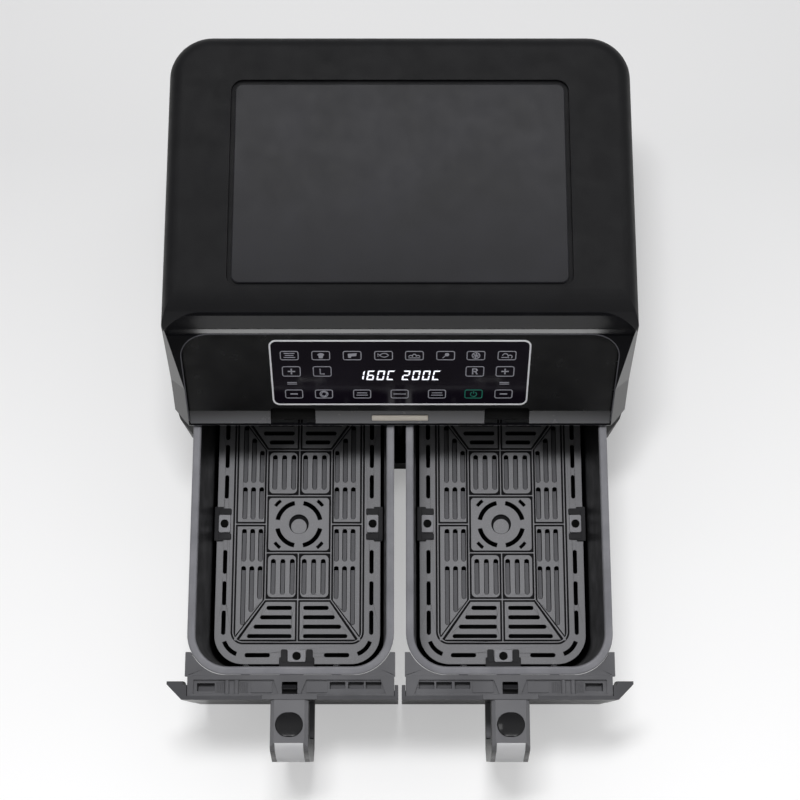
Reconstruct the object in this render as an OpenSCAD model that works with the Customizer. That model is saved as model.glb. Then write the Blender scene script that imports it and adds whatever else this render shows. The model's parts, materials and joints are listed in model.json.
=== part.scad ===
// Twin-basket air fryer with both drawers drawn out on their runners.
// X runs across the front, Y from the handles to the rear wall, Z upwards from the table.

/* [Housing] */
// Overall width of the machine
body_w = 385; // [360:1:465]
// Height from the table to the top
body_h = 262; // [250:1:320]
// Depth from the rear wall to the closed drawer fronts
body_d = 313; // [313:1:380]
// Thickness of the moulded housing wall
wall = 2.5; // [2:0.1:3.5]
// Corner radius of the housing in plan, at the rear
plan_r = 36; // [20:1:50]
// Radius of the housing's top edge
edge_r = 14; // [6:1:18]
// Width of the 45 degree chamfer on the front corners
front_chamfer = 12.5; // [8:0.5:15]
// Height of the base tray where the housing sits on it
base_top = 50; // [44:1:60]
// Height of the rubber feet
foot_h = 6; // [3:0.5:12]
// Diameter of a rubber foot
foot_dia = 20; // [12:1:30]

/* [Control fascia] */
// Drop from the top of the housing to the lower edge of the fascia
fascia_drop = 104; // [95:1:120]
// Drop from the top of the housing to the top of the fascia
fascia_top_drop = 20.2; // [18:0.1:30]
// How far the fascia leans back over its height
fascia_lean = 55.9; // [40:0.1:60]
// Setback of the fascia's lower edge behind the drawer fronts
fascia_setback = 4; // [2:0.5:8]
// Width of the fascia
fascia_w = 358; // [330:1:362]
// Thickness of the fascia
fascia_t = 3; // [2:0.5:4]
// How far the surround stands proud of the fascia
surround_proud = 4; // [2:0.5:6]
// Width of the touch glass
glass_w = 212; // [150:1:240]
// Height of the touch glass
glass_h = 69.7; // [50:0.1:72]
// Width of the bright ring around the touch glass
bezel_w = 1.4; // [1:0.1:3]
// Width of the thumb cut-out over each handle
thumb_cut_w = 38; // [34:1:50]

/* [Top panel] */
// Width of the groove outline on top of the housing
panel_w = 279; // [200:1:300]
// Depth of the groove outline on top of the housing
panel_d = 179; // [120:1:185]
// Width of the groove around the panel
panel_groove = 3.5; // [2:0.5:6]
// Depth of the groove
groove_depth = 3; // [1.5:0.5:5]
// Distance from the rear wall to the groove
panel_setback = 42.5; // [36:0.5:60]

/* [Drawers] */
// How far the drawers are drawn out at rest
draw_out = 230; // [0:1:230]
// Width of a basket over its rim
rim_w = 172; // [140:1:172]
// Length of a basket over its rim
rim_l = 275; // [230:1:275]
// Corner radius of the rim
rim_r = 34; // [24:1:45]
// Width of the rim flange
rim_flange = 5.5; // [4:0.5:8]
// Thickness of the rim flange
rim_t = 1.6; // [1:0.1:2.5]
// Depth of a basket
basket_depth = 115; // [95:1:125]
// Wall of a basket
basket_wall = 1.2; // [0.8:0.1:2]
// Inward draft of a basket wall over its depth
basket_draft = 4; // [2:0.5:6]
// Gap between the two baskets
basket_gap = 10; // [8:0.5:16]
// Gap between the two drawer fronts
front_gap = 3; // [2:0.5:5]
// Distance from the drawer's front face to the basket rim
rim_setback = 20.5; // [20:0.5:26]

/* [Handles] */
// Width of a handle
handle_w = 31.6; // [26:0.2:36]
// How far a handle stands out
handle_reach = 50; // [44:1:60]
// Height of a handle
handle_h = 100; // [80:1:104]
// Thickness of the handle's grip
grip_t = 19; // [15:1:24]
// Length of the oval release button
button_l = 22; // [18:0.5:26]
// Width of the oval release button
button_w = 19; // [14:0.5:22]
// Travel of the release button
button_travel = 3; // [2:0.5:4]

/* [Crisper plates] */
// Gap between a crisper plate's long edges and the basket rim
plate_side_gap = 12.5; // [11.5:0.1:16]
// Gap between a crisper plate's short edges and the basket rim
plate_end_gap = 13; // [12:0.1:18]
// Thickness of a crisper plate
plate_t = 2.5; // [2:0.1:4]
// Corner radius of a crisper plate
plate_r = 26; // [18:1:34]
// Height of a crisper plate's top face above the basket floor
plate_rise = 29.8; // [24:0.1:50]
// Width of the vent slots
slot_w = 4; // [3:0.1:5]

/* [Air movers] */
// Gap between the hot-air fan and the heating coil
fan_gap = 3.5; // [3:0.1:10]
// Height of the hot-air fan's blades
fan_h = 12; // [8:1:14]
// Blades on a hot-air fan
fan_blades = 10; // [6:1:14]
// Diameter of the cooling fan
cool_dia = 80; // [60:1:90]
// Diameter of the motor shaft
shaft_dia = 5; // [4:0.5:8]
// Diameter of the motor
motor_dia = 54; // [44:1:66]
// Gap between the heating coil and the chamber's walls
coil_gap = 14.5; // [12:0.5:18]
// Diameter of the heating coil's tube
coil_tube = 6.5; // [5:0.5:8]

/* [Hidden] */
$fn = 64;

left = -1;
right = 1;
cut = 1;                         // overrun of a cutting tool past the face that it cuts
fit_gap = 0.3;                   // clearance between neighbours on different bodies
shaft_gap = 0.05;                // radial running clearance of a shaft
spacer_l = 10;                   // wall spacers on the rear cover
cover_t = 2.5;

// Places along Y: the model's box is centred on the origin.
overall_l = spacer_l + body_d + draw_out + handle_reach;
back_y = overall_l / 2 - spacer_l;
front_y = back_y - body_d;
drawer_y = front_y - draw_out;

// Fascia plane, measured from its lower edge
fascia_z = body_h - fascia_drop;
fascia_y = front_y + fascia_setback;
fascia_rise = fascia_drop - fascia_top_drop;
lean = atan2(fascia_lean, fascia_rise);
fascia_l = norm([fascia_lean, fascia_rise]);
fascia_corner_r = 24;

// Where the gloss surround meets the matte housing
part_top = body_d - 74;
part_low = body_d - 34;
seam_top = body_d - 16;          // front edge of the side wall under the fascia
seam_z_top = fascia_z - 14;
seam_z_low = fascia_z - 85;

// Drawer levels
rim_z = fascia_z - 4;
basket_z = rim_z - basket_depth;
front_top_z = fascia_z - 3;
front_low_z = basket_z - 2;
drawer_x = (rim_w + basket_gap) / 2;
rim_back_closed = body_d - rim_setback - rim_l;
basket_floor = basket_z + basket_wall;
plate_z = basket_floor + plate_rise;
plate_w = rim_w - 2 * plate_side_gap;
plate_l = rim_l - 2 * plate_end_gap;

// Drawer chamber
liner_t = 0.8;
liner_gap = 1.5;
liner_floor = basket_z - 3;
liner_roof = body_h - 66;
liner_back = rim_back_closed - 4.5;
liner_front = body_d - 41;
liner_w = rim_w + 2 * liner_gap;
ledge_t = 2;                     // side rails that guide a basket's rim flange
ledge_w = 5;
rail_gap = 0.2;
switch_z = rim_z - rim_t / 2;
coil_drop = 28;                  // coil below the chamber roof
coil_dia = liner_w - 2 * coil_gap;
coil_pitch = 2 * coil_tube;      // between the coil's two rings
fan_dia = coil_dia - 2 * coil_pitch - 2 * coil_tube - 2 * fan_gap;
guard_dia = coil_dia + 12;
latch_w = 15;
tongue_w = 11.6;
latch_y = 8.3;                   // the latch tongue's place behind the drawer's front face
latch_t = 4;
catch_w = 16;
catch_t = 2.4;
catch_drop = 2.4;
fan_y = back_y - rim_back_closed - rim_l / 2;

// Housing interior
side_in = body_w / 2 - wall;
post_x = body_w / 2 - front_chamfer;
divider_t = basket_gap - 2 * (liner_gap + liner_t) - 1.4;

// ---------- shared shapes ----------

// Moves a piece to a depth behind the rear wall, so that its own +Y still points to the rear
module behind(depth, z = 0, x = 0) {
    translate([x, back_y - depth, z]) children();
}

// Puts a piece into a drawer's frame: origin on the front face, outer side towards -X
module in_drawer(side) {
    translate([side * drawer_x, drawer_y, 0]) mirror([side == right ? 1 : 0, 0, 0]) children();
}

// Puts a piece over a chamber's fan axis
module on_fan_axis(side, z = 0) {
    translate([side * drawer_x, fan_y, z]) children();
}

// Fascia frame: X across, Y up the slope from the lower edge, Z out of the face
module on_fascia(out = 0) {
    translate([0, fascia_y, fascia_z]) rotate([90 - lean, 0, 0]) translate([0, 0, out]) children();
}

// Rectangle with round corners, centred
module rounded(w, l, r) {
    square([w, l - 2 * r], center = true);
    square([w - 2 * r, l], center = true);
    for (sx = [-1, 1], sy = [-1, 1]) {
        translate([sx * (w / 2 - r), sy * (l / 2 - r)]) circle(r);
    }
}

// Slot with round ends, centred, along Y
module slot(l, w = slot_w) {
    square([w, l - w], center = true);
    for (s = [-1, 1]) translate([0, s * (l - w) / 2]) circle(w / 2, $fn = 24);
}

// Section of the housing's edge: reach by height, with its far top corner rounded
module edge_section(reach, h, r) {
    square([reach, h - r]);
    square([reach - r, h]);
    translate([reach - r, h - r]) intersection() {
        circle(r);
        square(r);
    }
}

// Block with round rear corners and a round top edge, from the rear wall forwards
module housing_block(w, d, h, pr, er) {
    translate([-(w / 2 - pr), -d, 0]) rotate([90, 0, 90]) linear_extrude(w - 2 * pr) edge_section(d, h, er);
    for (m = [0, 1]) mirror([m, 0, 0]) {
        translate([w / 2 - pr, -pr, 0]) {
            rotate([90, 0, 0]) linear_extrude(d - pr) edge_section(pr, h, er);
            rotate_extrude(angle = 90) edge_section(pr, h, er);
        }
    }
}

// Prism across the machine from points given as [depth, height]
module side_prism(points, w = body_w + 2 * cut) {
    translate([-w / 2, back_y, 0]) rotate([90, 0, 90]) linear_extrude(w)
        polygon([for (p = points) [-p[0], p[1]]]);
}

// Upright prism that removes the chamfered front corners
module corner_cuts(front, low, high) {
    for (s = [-1, 1]) {
        translate([s * body_w / 2, back_y - front, low]) rotate([0, 0, 45]) linear_extrude(high - low)
            square(front_chamfer * sqrt(2), center = true);
    }
}

// ---------- base ----------

tray_inset = 1.5;
tray_wall = 2;
tray_floor = foot_h + 3;
lip_out = 11;                    // the tray's front lip stands ahead of the drawer fronts
rail_w = 6;

module tray_outline(inset) {
    w = body_w - 2 * inset;
    r = plan_r - inset;
    front = body_d + lip_out - inset;
    difference() {
        union() {
            translate([-w / 2, -front]) square([w, front - inset - r]);
            translate([-w / 2 + r, -inset - r]) square([w - 2 * r, r]);
            for (s = [-1, 1]) translate([s * (w / 2 - r), -inset - r]) circle(r);
        }
        for (s = [-1, 1]) translate([s * w / 2, -front]) rotate(45)
            square((front_chamfer + lip_out) * sqrt(2), center = true);
    }
}

module base_tray() color("#1c1c1e") {
    translate([0, back_y, 0]) difference() {
        union() {
            difference() {
                translate([0, 0, foot_h]) linear_extrude(base_top - foot_h) tray_outline(tray_inset);
                translate([0, 0, tray_floor]) linear_extrude(base_top) tray_outline(tray_inset + tray_wall);
                // The front wall stays below the drawers
                translate([-post_x, -body_d - lip_out - cut, front_low_z - 2])
                    cube([2 * post_x, 2 * lip_out + 30, base_top]);
            }
            // Rails that carry the chamber floors
            for (s = [-1, 1], r = [-1, 1]) translate([s * drawer_x + r * 50 - rail_w / 2, -liner_front, tray_floor])
                cube([rail_w, liner_front - liner_back, liner_floor - tray_floor]);
            // Wall between the two chambers
            translate([-divider_t / 2, -seam_top, tray_floor])
                cube([divider_t, seam_top - tray_inset - tray_wall, fascia_z - tray_floor]);
        }
        // Cooling-air slots in the floor
        for (s = [-1, 1], i = [-4:4]) translate([s * drawer_x + i * 9, -body_d / 2, foot_h - cut])
            linear_extrude(wall + 2 * cut) slot(60, 4);
    }
}

module rubber_feet() color("#0f0f10") {
    for (sx = [-1, 1], d = [40, body_d - 30]) {
        behind(d, 0, sx * (body_w / 2 - 45)) cylinder(h = foot_h, d1 = foot_dia - 2, d2 = foot_dia);
    }
}

module base_screws() color("#8c8c90") {
    for (sx = [-1, 1], d = [70, body_d - 70]) {
        behind(d, foot_h - 1.6, sx * (body_w / 2 - 30)) difference() {
            cylinder(h = 1.6, d = 8);
            translate([0, 0, -cut]) cylinder(h = 1.4 + cut, d = 3.5, $fn = 6);
        }
    }
}

// ---------- housing ----------

module housing_outside() {
    translate([0, back_y, 0]) housing_block(body_w, body_d, body_h, plan_r, edge_r);
}

module housing_inside() {
    translate([0, back_y - wall, 0])
        housing_block(body_w - 2 * wall, body_d, body_h - wall, plan_r - wall, edge_r - wall);
}

shoulder_r = 44;
shoulder_steps = 16;
shoulder_pad = 7;                // thickness kept behind the shoulder
proud_run = surround_proud / cos(lean);
slope_low = body_d - fascia_setback + proud_run;
slope_top = slope_low - fascia_drop * tan(lean);
shoulder_run = shoulder_r * tan((90 - lean) / 2);

// Side view of the sloping front: flat top, round shoulder, then the slope
function front_profile() = concat([[slope_top - shoulder_run, body_h + cut], [slope_top - shoulder_run, body_h]],
    [for (i = [1:shoulder_steps]) let (a = (90 - lean) * i / shoulder_steps)
        [slope_top - shoulder_run + shoulder_r * sin(a), body_h - shoulder_r * (1 - cos(a))]],
    [[slope_low, fascia_z]]);

// Everything behind the sloping front
module sloping_body() {
    side_prism(concat([[-2 * cut, 0], [-2 * cut, body_h + cut]], front_profile(),
        [[slope_low, fascia_z - cut], [slope_low, 0]]));
}

// Chamfers that carry the front corners up the slope and fade out at the shoulder
chamfer_low = 40;
chamfer_high = fascia_l + 20;
module slope_chamfers() {
    c = front_chamfer / sqrt(2);
    run = chamfer_high - chamfer_low;
    fade = atan2(c, run);
    below = 60;
    for (s = [-1, 1]) on_fascia(surround_proud) translate([s * body_w / 2, 0, 0]) {
        rotate([0, 45, 0]) translate([-c, -below, -c]) cube([2 * c, below + chamfer_low + 1, 2 * c]);
        translate([0, chamfer_high, 0]) rotate([0, s * 45, 0]) rotate([fade, 0, 0])
            translate([-2 * front_chamfer, -run / cos(fade), 0]) cube([4 * front_chamfer, run + 10, 2 * front_chamfer]);
    }
}

vent_w = 290;
vent_h = 120;
vent_z = base_top + 60;
panel_r = 10;
panel_y = back_y - panel_setback - panel_d / 2;

module housing_shell() color("#2c2c2e") {
    difference() {
        intersection() {
            housing_outside();
            sloping_body();
            side_prism([[-cut, base_top], [-cut, body_h + cut], [part_top, body_h + cut],
                [part_top, body_h], [part_low, fascia_z], [seam_top, fascia_z], [seam_top, seam_z_top],
                [body_d, seam_z_low], [body_d, base_top]]);
        }
        difference() {
            housing_inside();
            // Pad under the top panel's groove
            translate([-panel_w / 2 - 3, panel_y - panel_d / 2 - 3, body_h - groove_depth - wall])
                cube([panel_w + 6, panel_d + 6, groove_depth + wall]);
            // Pad behind the round shoulder
            side_prism([[slope_top - shoulder_run - 2, body_h + cut], [part_top + 4, body_h + cut],
                [part_top + 4, body_h - wall - shoulder_pad], [slope_top - shoulder_run - 2, body_h - wall - shoulder_pad]]);
            // Front posts at the sides of the drawer opening
            for (s = [-1, 1]) translate([s > 0 ? post_x : -side_in - cut, front_y - cut, 0])
                cube([side_in - post_x + cut, 26 + cut, fascia_z]);
        }
        corner_cuts(body_d, base_top - cut, fascia_z + cut);
        // Groove for the top panel
        translate([0, panel_y, body_h - groove_depth]) linear_extrude(groove_depth + cut)
            rounded(panel_w, panel_d, panel_r);
        // Rear vent opening
        behind(wall + cut, vent_z) translate([-vent_w / 2, 0, 0]) cube([vent_w, wall + 2 * cut, vent_h]);
        // Cord opening
        behind(wall / 2, cord_z, cord_x) rotate([90, 0, 0])
            cylinder(h = wall + 2 * cut, d = gland_dia, center = true);
    }
}

module top_panel() color("#38383c") {
    t = groove_depth - 0.4;
    w = panel_w - 2 * panel_groove;
    d = panel_d - 2 * panel_groove;
    translate([0, panel_y, body_h - groove_depth]) {
        linear_extrude(t - 0.8) rounded(w, d, panel_r - panel_groove);
        translate([0, 0, t - 0.8]) linear_extrude(0.8) rounded(w - 1.2, d - 1.2, panel_r - panel_groove - 0.6);
    }
}

// Outline of the fascia in its own plane, from the lower edge upwards
module fascia_outline(inset = 0) {
    w = fascia_w - 2 * inset;
    r = fascia_corner_r - inset;
    translate([-w / 2, -cut]) square([w, fascia_l - inset - r + cut]);
    translate([-w / 2 + r, 0]) square([w - 2 * r, fascia_l - inset]);
    for (s = [-1, 1]) translate([s * (w / 2 - r), fascia_l - inset - r]) circle(r);
}

surround_lip = 6;
module front_surround() color("#141416") {
    difference() {
        intersection() {
            housing_outside();
            sloping_body();
            side_prism([[part_top, body_h + cut], [part_top, body_h], [part_low, fascia_z],
                [slope_low + cut, fascia_z], [slope_low + cut, body_h + cut]]);
        }
        slope_chamfers();
        corner_cuts(body_d, fascia_z - cut, fascia_z + 4);
        // Recess that takes the fascia, and the window through it
        on_fascia(-fascia_t) linear_extrude(fascia_t + 30) fascia_outline();
        on_fascia(-60) linear_extrude(60) fascia_outline(surround_lip);
        // Hollow behind the slope
        side_prism([[part_top - 40, body_h - wall - 3], [slope_top - shoulder_run / 2, body_h - wall - 3],
            [slope_low - 14, fascia_z - cut], [part_low - 40, fascia_z - cut]], body_w - 18);
    }
}

thumb_cut_h = 15;
lip_h = 12;                      // sloping lip along the fascia's lower edge
lip_rise = 3;
lip_end = 8;
glass_v = 20.4;                    // lower edge of the glass up the slope
glass_r = 5;
module fascia() color("#1c1c1e") {
    on_fascia(-fascia_t) difference() {
        union() {
            linear_extrude(fascia_t) intersection() {
                fascia_outline(fit_gap / 2);
                translate([-body_w / 2, 0]) square([body_w, fascia_l + cut]);
            }
            // Lip that turns the lower edge up to the light
            translate([-fascia_w / 2 + lip_end, 0, fascia_t]) rotate([90, 0, 90])
                linear_extrude(fascia_w - 2 * lip_end) polygon([[0, 0], [lip_h, 0], [0, lip_rise]]);
        }
        // Thumb cut-outs over the handles
        for (s = [-1, 1]) translate([s * drawer_x, 0, -cut]) linear_extrude(fascia_t + lip_rise + 2 * cut) {
            translate([-thumb_cut_w / 2, -cut]) square([thumb_cut_w, thumb_cut_h - 3 + cut]);
            translate([0, thumb_cut_h / 2]) rounded(thumb_cut_w, thumb_cut_h, 3);
        }
        // Pocket for the glass and its ring
        translate([0, glass_v + glass_h / 2, fascia_t - 1.5]) linear_extrude(1.5 + cut)
            rounded(glass_w + 2 * bezel_w + 0.2, glass_h + 2 * bezel_w + 0.2, glass_r + bezel_w);
    }
    // Sill across each cut-out, with the catch that holds the drawer's latch
    for (s = [-1, 1]) behind(body_d - latch_y + fit_gap + catch_t, fascia_z, s * drawer_x) {
        translate([-thumb_cut_w / 2 - 1.5, 0, 0]) cube([thumb_cut_w + 3, catch_t, 2.5]);
        translate([-catch_w / 2, 0, -catch_drop]) cube([catch_w, catch_t, catch_drop + 1]);
    }
}

module control_glass() color("#101012") {
    on_fascia(-1.5) translate([0, glass_v + glass_h / 2, 0]) linear_extrude(1.6)
        rounded(glass_w, glass_h, glass_r);
}

module glass_bezel() color("#c8c8cc") {
    on_fascia(-1.5) translate([0, glass_v + glass_h / 2, 0]) linear_extrude(1.9) difference() {
        rounded(glass_w + 2 * bezel_w, glass_h + 2 * bezel_w, glass_r + bezel_w);
        rounded(glass_w, glass_h, glass_r);
    }
}

board_gap = 5;                   // back of the board to the back of the fascia
module display_board() color("#1f5a35") {
    on_fascia(-fascia_t - board_gap) translate([0, glass_v + glass_h / 2, 0]) {
        linear_extrude(1.6) square([glass_w - 20, glass_h - 14], center = true);
        // Standoffs reach the back of the fascia
        for (sx = [-1, 1], sy = [-1, 1]) translate([sx * (glass_w / 2 - 16), sy * (glass_h / 2 - 12), 1.6])
            cylinder(h = board_gap - 1.6, d = 6);
        translate([-32, -6, 1.6]) cube([64, 16, board_gap - 2]);
    }
}

module power_board() color("#2a4a2a") {
    // Stands on the chamber roofs between the two motors
    translate([-42, fan_y + 34, liner_roof + liner_t + 6]) {
        cube([84, 62, 1.6]);
        for (x = [6, 78], y = [6, 56]) translate([x, y, -6]) cylinder(h = 6, d = 6);
        translate([10, 12, 1.6]) cube([22, 18, 16]);
        translate([44, 14, 1.6]) cube([14, 14, 12]);
        translate([64, 40, 1.6]) cylinder(h = 20, d = 12);
    }
}

// ---------- rear ----------

gland_dia = 16;
cord_x = 145;
cord_z = base_top + 24;
louvre_pitch = 7;
module rear_cover() color("#1c1c1e") {
    w = vent_w + 16;
    h = vent_h + 16;
    behind(0, vent_z + vent_h / 2) rotate([-90, 0, 0]) {
        difference() {
            linear_extrude(cover_t) rounded(w, h, 10);
            for (s = [-1, 1], row = [-1, 1], i = [-7:7]) translate([s * drawer_x * 0.8 + i * louvre_pitch, row * 24, -cut])
                linear_extrude(cover_t + 2 * cut) slot(36, 3.2);
        }
        // Spacers that keep the rear off the wall
        for (s = [-1, 1]) translate([s * 16, 0, cover_t]) linear_extrude(spacer_l - cover_t) difference() {
            rounded(12, 70, 4);
            rounded(7, 64, 2);
        }
        // Spigot inside the vent opening
        translate([0, 0, -wall]) linear_extrude(wall) difference() {
            rounded(vent_w - 0.6, vent_h - 0.6, 4);
            rounded(vent_w - 6, vent_h - 6, 3);
        }
    }
}

module cord_gland() color("#0f0f10") {
    behind(0, cord_z, cord_x) rotate([-90, 0, 0]) difference() {
        union() {
            translate([0, 0, -wall]) cylinder(h = wall, d = gland_dia - 0.5);
            cylinder(h = 4, d1 = gland_dia + 4, d2 = gland_dia + 1);
            translate([0, 0, -wall - 2.5]) cylinder(h = 2.5, d = gland_dia + 4);
        }
        translate([0, 0, -wall - 2.5 - cut]) cylinder(h = wall + 6.5 + 2 * cut, d = 8);
    }
}

module cover_screws() color("#8c8c90") {
    for (sx = [-1, 1], sz = [-1, 1]) {
        behind(0, vent_z + vent_h / 2 + sz * (vent_h / 2 + 3.6), sx * (vent_w / 2 - 30))
            translate([0, cover_t, 0]) rotate([-90, 0, 0]) difference() {
                cylinder(h = 1.6, d1 = 7, d2 = 6);
                for (a = [0, 90]) rotate(a) translate([-2, -0.5, 0.5]) cube([4, 1, 2]);
            }
    }
}

// ---------- drawer chambers ----------

module chamber_liner(side) color("#a6a8ab") {
    len = liner_front - liner_back;
    shaft_hole = 5;
    // Rails below and above the rim flange, along both side walls
    for (s = [-1, 1], z = [rim_z - rim_t - rail_gap - ledge_t, rim_z + rail_gap]) {
        behind(liner_front, z, side * drawer_x + s * (liner_w - ledge_w) / 2) translate([-ledge_w / 2, 0, 0])
            cube([ledge_w, len - liner_t, ledge_t]);
    }
    behind(liner_front, 0, side * drawer_x) difference() {
        translate([-liner_w / 2 - liner_t, 0, liner_floor])
            cube([liner_w + 2 * liner_t, len, liner_roof + liner_t - liner_floor]);
        // Inside, up to the roof
        translate([-liner_w / 2, liner_t, liner_floor + liner_t])
            cube([liner_w, len - 2 * liner_t, liner_roof - liner_floor - liner_t]);
        // Mouth for the drawer, below the front skirt
        translate([-liner_w / 2, -cut, liner_floor + liner_t])
            cube([liner_w, liner_t + 2 * cut, fascia_z - liner_floor - liner_t]);
        // Shaft, probe and switch holes
        translate([0, fan_y - (back_y - liner_front), liner_roof - cut]) cylinder(h = liner_t + 2 * cut, r = shaft_hole);
        translate([0, len - liner_t - cut, switch_z]) rotate([-90, 0, 0]) cylinder(h = liner_t + 2 * cut, r = 2.6);
    }
}

module heating_coil(side) color("#7a7672") {
    r_out = (coil_dia - coil_tube) / 2;
    r_in = r_out - coil_pitch;
    terminal_a = 12;
    on_fan_axis(side, liner_roof - coil_drop) {
        // Two rings, joined by a link, each with a terminal through the roof
        for (r = [r_in, r_out]) {
            rotate_extrude() translate([r, 0]) circle(coil_tube / 2, $fn = 24);
            rotate(terminal_a * (r == r_in ? 1 : -1)) translate([r, 0, 0]) cylinder(h = coil_drop, d = coil_tube - 1.5);
        }
        rotate(180) translate([r_in, 0, 0]) rotate([0, 90, 0]) cylinder(h = r_out - r_in, d = coil_tube - 1.5);
    }
}

guard_t = 1.5;
guard_hub = 11.5;
guard_slot = 7.5;
guard_step = (guard_dia / 2 - guard_hub - guard_slot - 7.5) / 5;
module coil_guard(side) color("#b0b2b4") {
    z = fascia_z + 1;
    on_fan_axis(side, z) {
        difference() {
            cylinder(h = guard_t, d = guard_dia);
            for (i = [0:5]) translate([0, 0, -cut]) difference() {
                cylinder(h = guard_t + 2 * cut, r = guard_hub + guard_slot + i * guard_step);
                translate([0, 0, -cut]) cylinder(h = guard_t + 4 * cut, r = guard_hub + i * guard_step);
                for (a = [0:60:120]) rotate(a) translate([-100, -1.5, -cut]) cube([200, 3, guard_t + 4 * cut]);
            }
        }
        for (a = [30:60:330]) rotate(a) translate([coil_dia / 2 + 3.5, 0, guard_t])
            cylinder(h = liner_roof - z - guard_t, d = 3.5);
    }
}

motor_z = liner_roof + liner_t;
motor_h = 24;
module fan_motor(side) color("#9a9ca0") {
    on_fan_axis(side, motor_z) difference() {
        union() {
            cylinder(h = motor_h, d = motor_dia);
            cylinder(h = 2, d = motor_dia + 20);
            translate([0, 0, motor_h]) cylinder(h = 3, d = 14);
        }
        translate([0, 0, -cut]) cylinder(h = motor_h + 3 + 2 * cut, d = shaft_dia + 2 * shaft_gap);
    }
}

hot_fan_z = liner_roof - 10 - fan_h;
cool_fan_z = motor_z + motor_h + 5;
cool_fan_h = 8;
module motor_shaft(side) color("#c4c6c8") {
    on_fan_axis(side, hot_fan_z - 2) cylinder(h = cool_fan_z + cool_fan_h + 2 - hot_fan_z + 2, d = shaft_dia);
}

// A fan wheel: hub, disc and straight upright blades
module fan_wheel(dia, h, blades, disc_t, disc_at) {
    hub_d = shaft_dia + 9;
    difference() {
        union() {
            cylinder(h = h, d = hub_d);
            translate([0, 0, disc_at]) cylinder(h = disc_t, d = dia);
            for (i = [0:blades - 1]) rotate(i * 360 / blades) translate([hub_d / 2 - 1, 0, 0])
                rotate([0, 0, 22]) cube([dia / 2 - hub_d / 2 - 4, 1.2, h]);
        }
        translate([0, 0, -cut]) cylinder(h = h + 2 * cut, d = shaft_dia);
    }
}

module hot_fan(side) color("#b4b6b8") {
    on_fan_axis(side, hot_fan_z) fan_wheel(fan_dia, fan_h, fan_blades, 1.2, fan_h - 1.2);
}

module cooling_fan(side) color("#3a3a3c") {
    on_fan_axis(side, cool_fan_z) fan_wheel(cool_dia, cool_fan_h, 8, 1.2, 0);
}

module temperature_probes() color("#c8c8c8") {
    for (side = [left, right]) translate([side * drawer_x + 50, fan_y + 100, liner_roof - 34]) {
        cylinder(h = 34, d = 4);
        sphere(d = 4);
    }
}

switch_d = 9;
plunger_dia = 3;
plunger_travel = 1.5;
plunger_tip = rim_back_closed - 0.4;
module drawer_switch(side) color("#202022") {
    behind(liner_back, switch_z, side * drawer_x) difference() {
        translate([-10, 0, -5]) cube([20, switch_d - 0.2, 12]);
        translate([0, -cut, 0]) rotate([-90, 0, 0]) cylinder(h = 6.5 + cut, d = plunger_dia + 2 * shaft_gap);
    }
}

module switch_plunger(side) color("#d8d8d8") {
    behind(plunger_tip, switch_z, side * drawer_x) rotate([-90, 0, 0])
        cylinder(h = plunger_tip - liner_back + 4.5, d = plunger_dia);
}

// ---------- baskets ----------

module basket_level(inset, z) {
    translate([0, 0, z]) linear_extrude(0.01)
        rounded(rim_w - 2 * inset, rim_l - 2 * inset, rim_r - inset, $fn = 32);
}

// Tapered tub with a round floor edge, as a closed form
module basket_form(inset, floor_z, top_z) {
    floor_r = 12;
    hull() {
        $fn = 32;
        basket_level(inset, top_z - 0.01);
        for (a = [0:15:90]) {
            basket_level(inset + basket_draft + floor_r * (1 - cos(90 - a)), floor_z + floor_r * (1 - sin(90 - a)));
        }
    }
}

module basket(side) color("#4a4a4d") {
    opening_inset = rim_flange + basket_wall;
    in_drawer(side) translate([0, rim_setback + rim_l / 2, 0]) {
        difference() {
            basket_form(rim_flange, basket_z, rim_z - rim_t + 0.02);
            basket_form(opening_inset, basket_floor, rim_z + cut);
        }
        translate([0, 0, rim_z - rim_t]) linear_extrude(rim_t) difference() {
            rounded(rim_w, rim_l, rim_r);
            rounded(rim_w - 2 * opening_inset, rim_l - 2 * opening_inset, rim_r - opening_inset);
        }
    }
}

// ---------- drawer fronts ----------

outer_x = -(body_w / 2 - drawer_x);            // outer edge of the wing
flat_x = outer_x + front_chamfer;              // where the flat front begins
inner_x = drawer_x - front_gap / 2;
skin_t = 3;
rail_d = rim_setback - 0.5;
rail_h = 20;
frame_top_z = front_top_z - 1;

// Side view of the wing: its rear edge follows the housing's seam
module wing_prism() {
    gap = 1;
    rear_top = body_d - seam_top - gap;
    translate([outer_x - cut, 0, 0]) rotate([90, 0, 90]) linear_extrude(flat_x - outer_x + cut + 1) polygon([
        [0, seam_z_low + 6], [0, front_top_z], [rear_top, front_top_z], [rear_top, seam_z_top - 2]]);
}

module front_plan(extra) {
    polygon([[flat_x, 0], [outer_x, front_chamfer], [outer_x, front_chamfer + extra],
        [flat_x, front_chamfer + extra]]);
}

module drawer_front(side) color("#1e1e20") {
    panel_x = flat_x + 1;
    in_drawer(side) {
        difference() {
            translate([panel_x, 0, front_low_z]) cube([inner_x - panel_x, 12, front_top_z - front_low_z]);
            translate([panel_x + skin_t, skin_t, front_low_z + skin_t])
                cube([inner_x - panel_x - 2 * skin_t, 12, front_top_z - front_low_z]);
            // Slot for the latch arm
            translate([-latch_w / 2 - 1, -cut, arm_z - button_travel - 1])
                cube([latch_w + 2, skin_t + 2 * cut, arm_t + button_travel + 2]);
        }
        intersection() {
            wing_prism();
            translate([0, 0, front_low_z]) linear_extrude(front_top_z - front_low_z) {
                front_plan(4);
                translate([flat_x - 0.01, 0]) square([1.01, front_chamfer + 4]);
            }
        }
    }
}

// Cuts into the rail from above between two places across the drawer
module rail_window(x_low, x_high, y_low, y_high, deep) {
    translate([x_low, y_low, frame_top_z - deep]) cube([x_high - x_low, y_high - y_low, deep + cut]);
}

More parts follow.
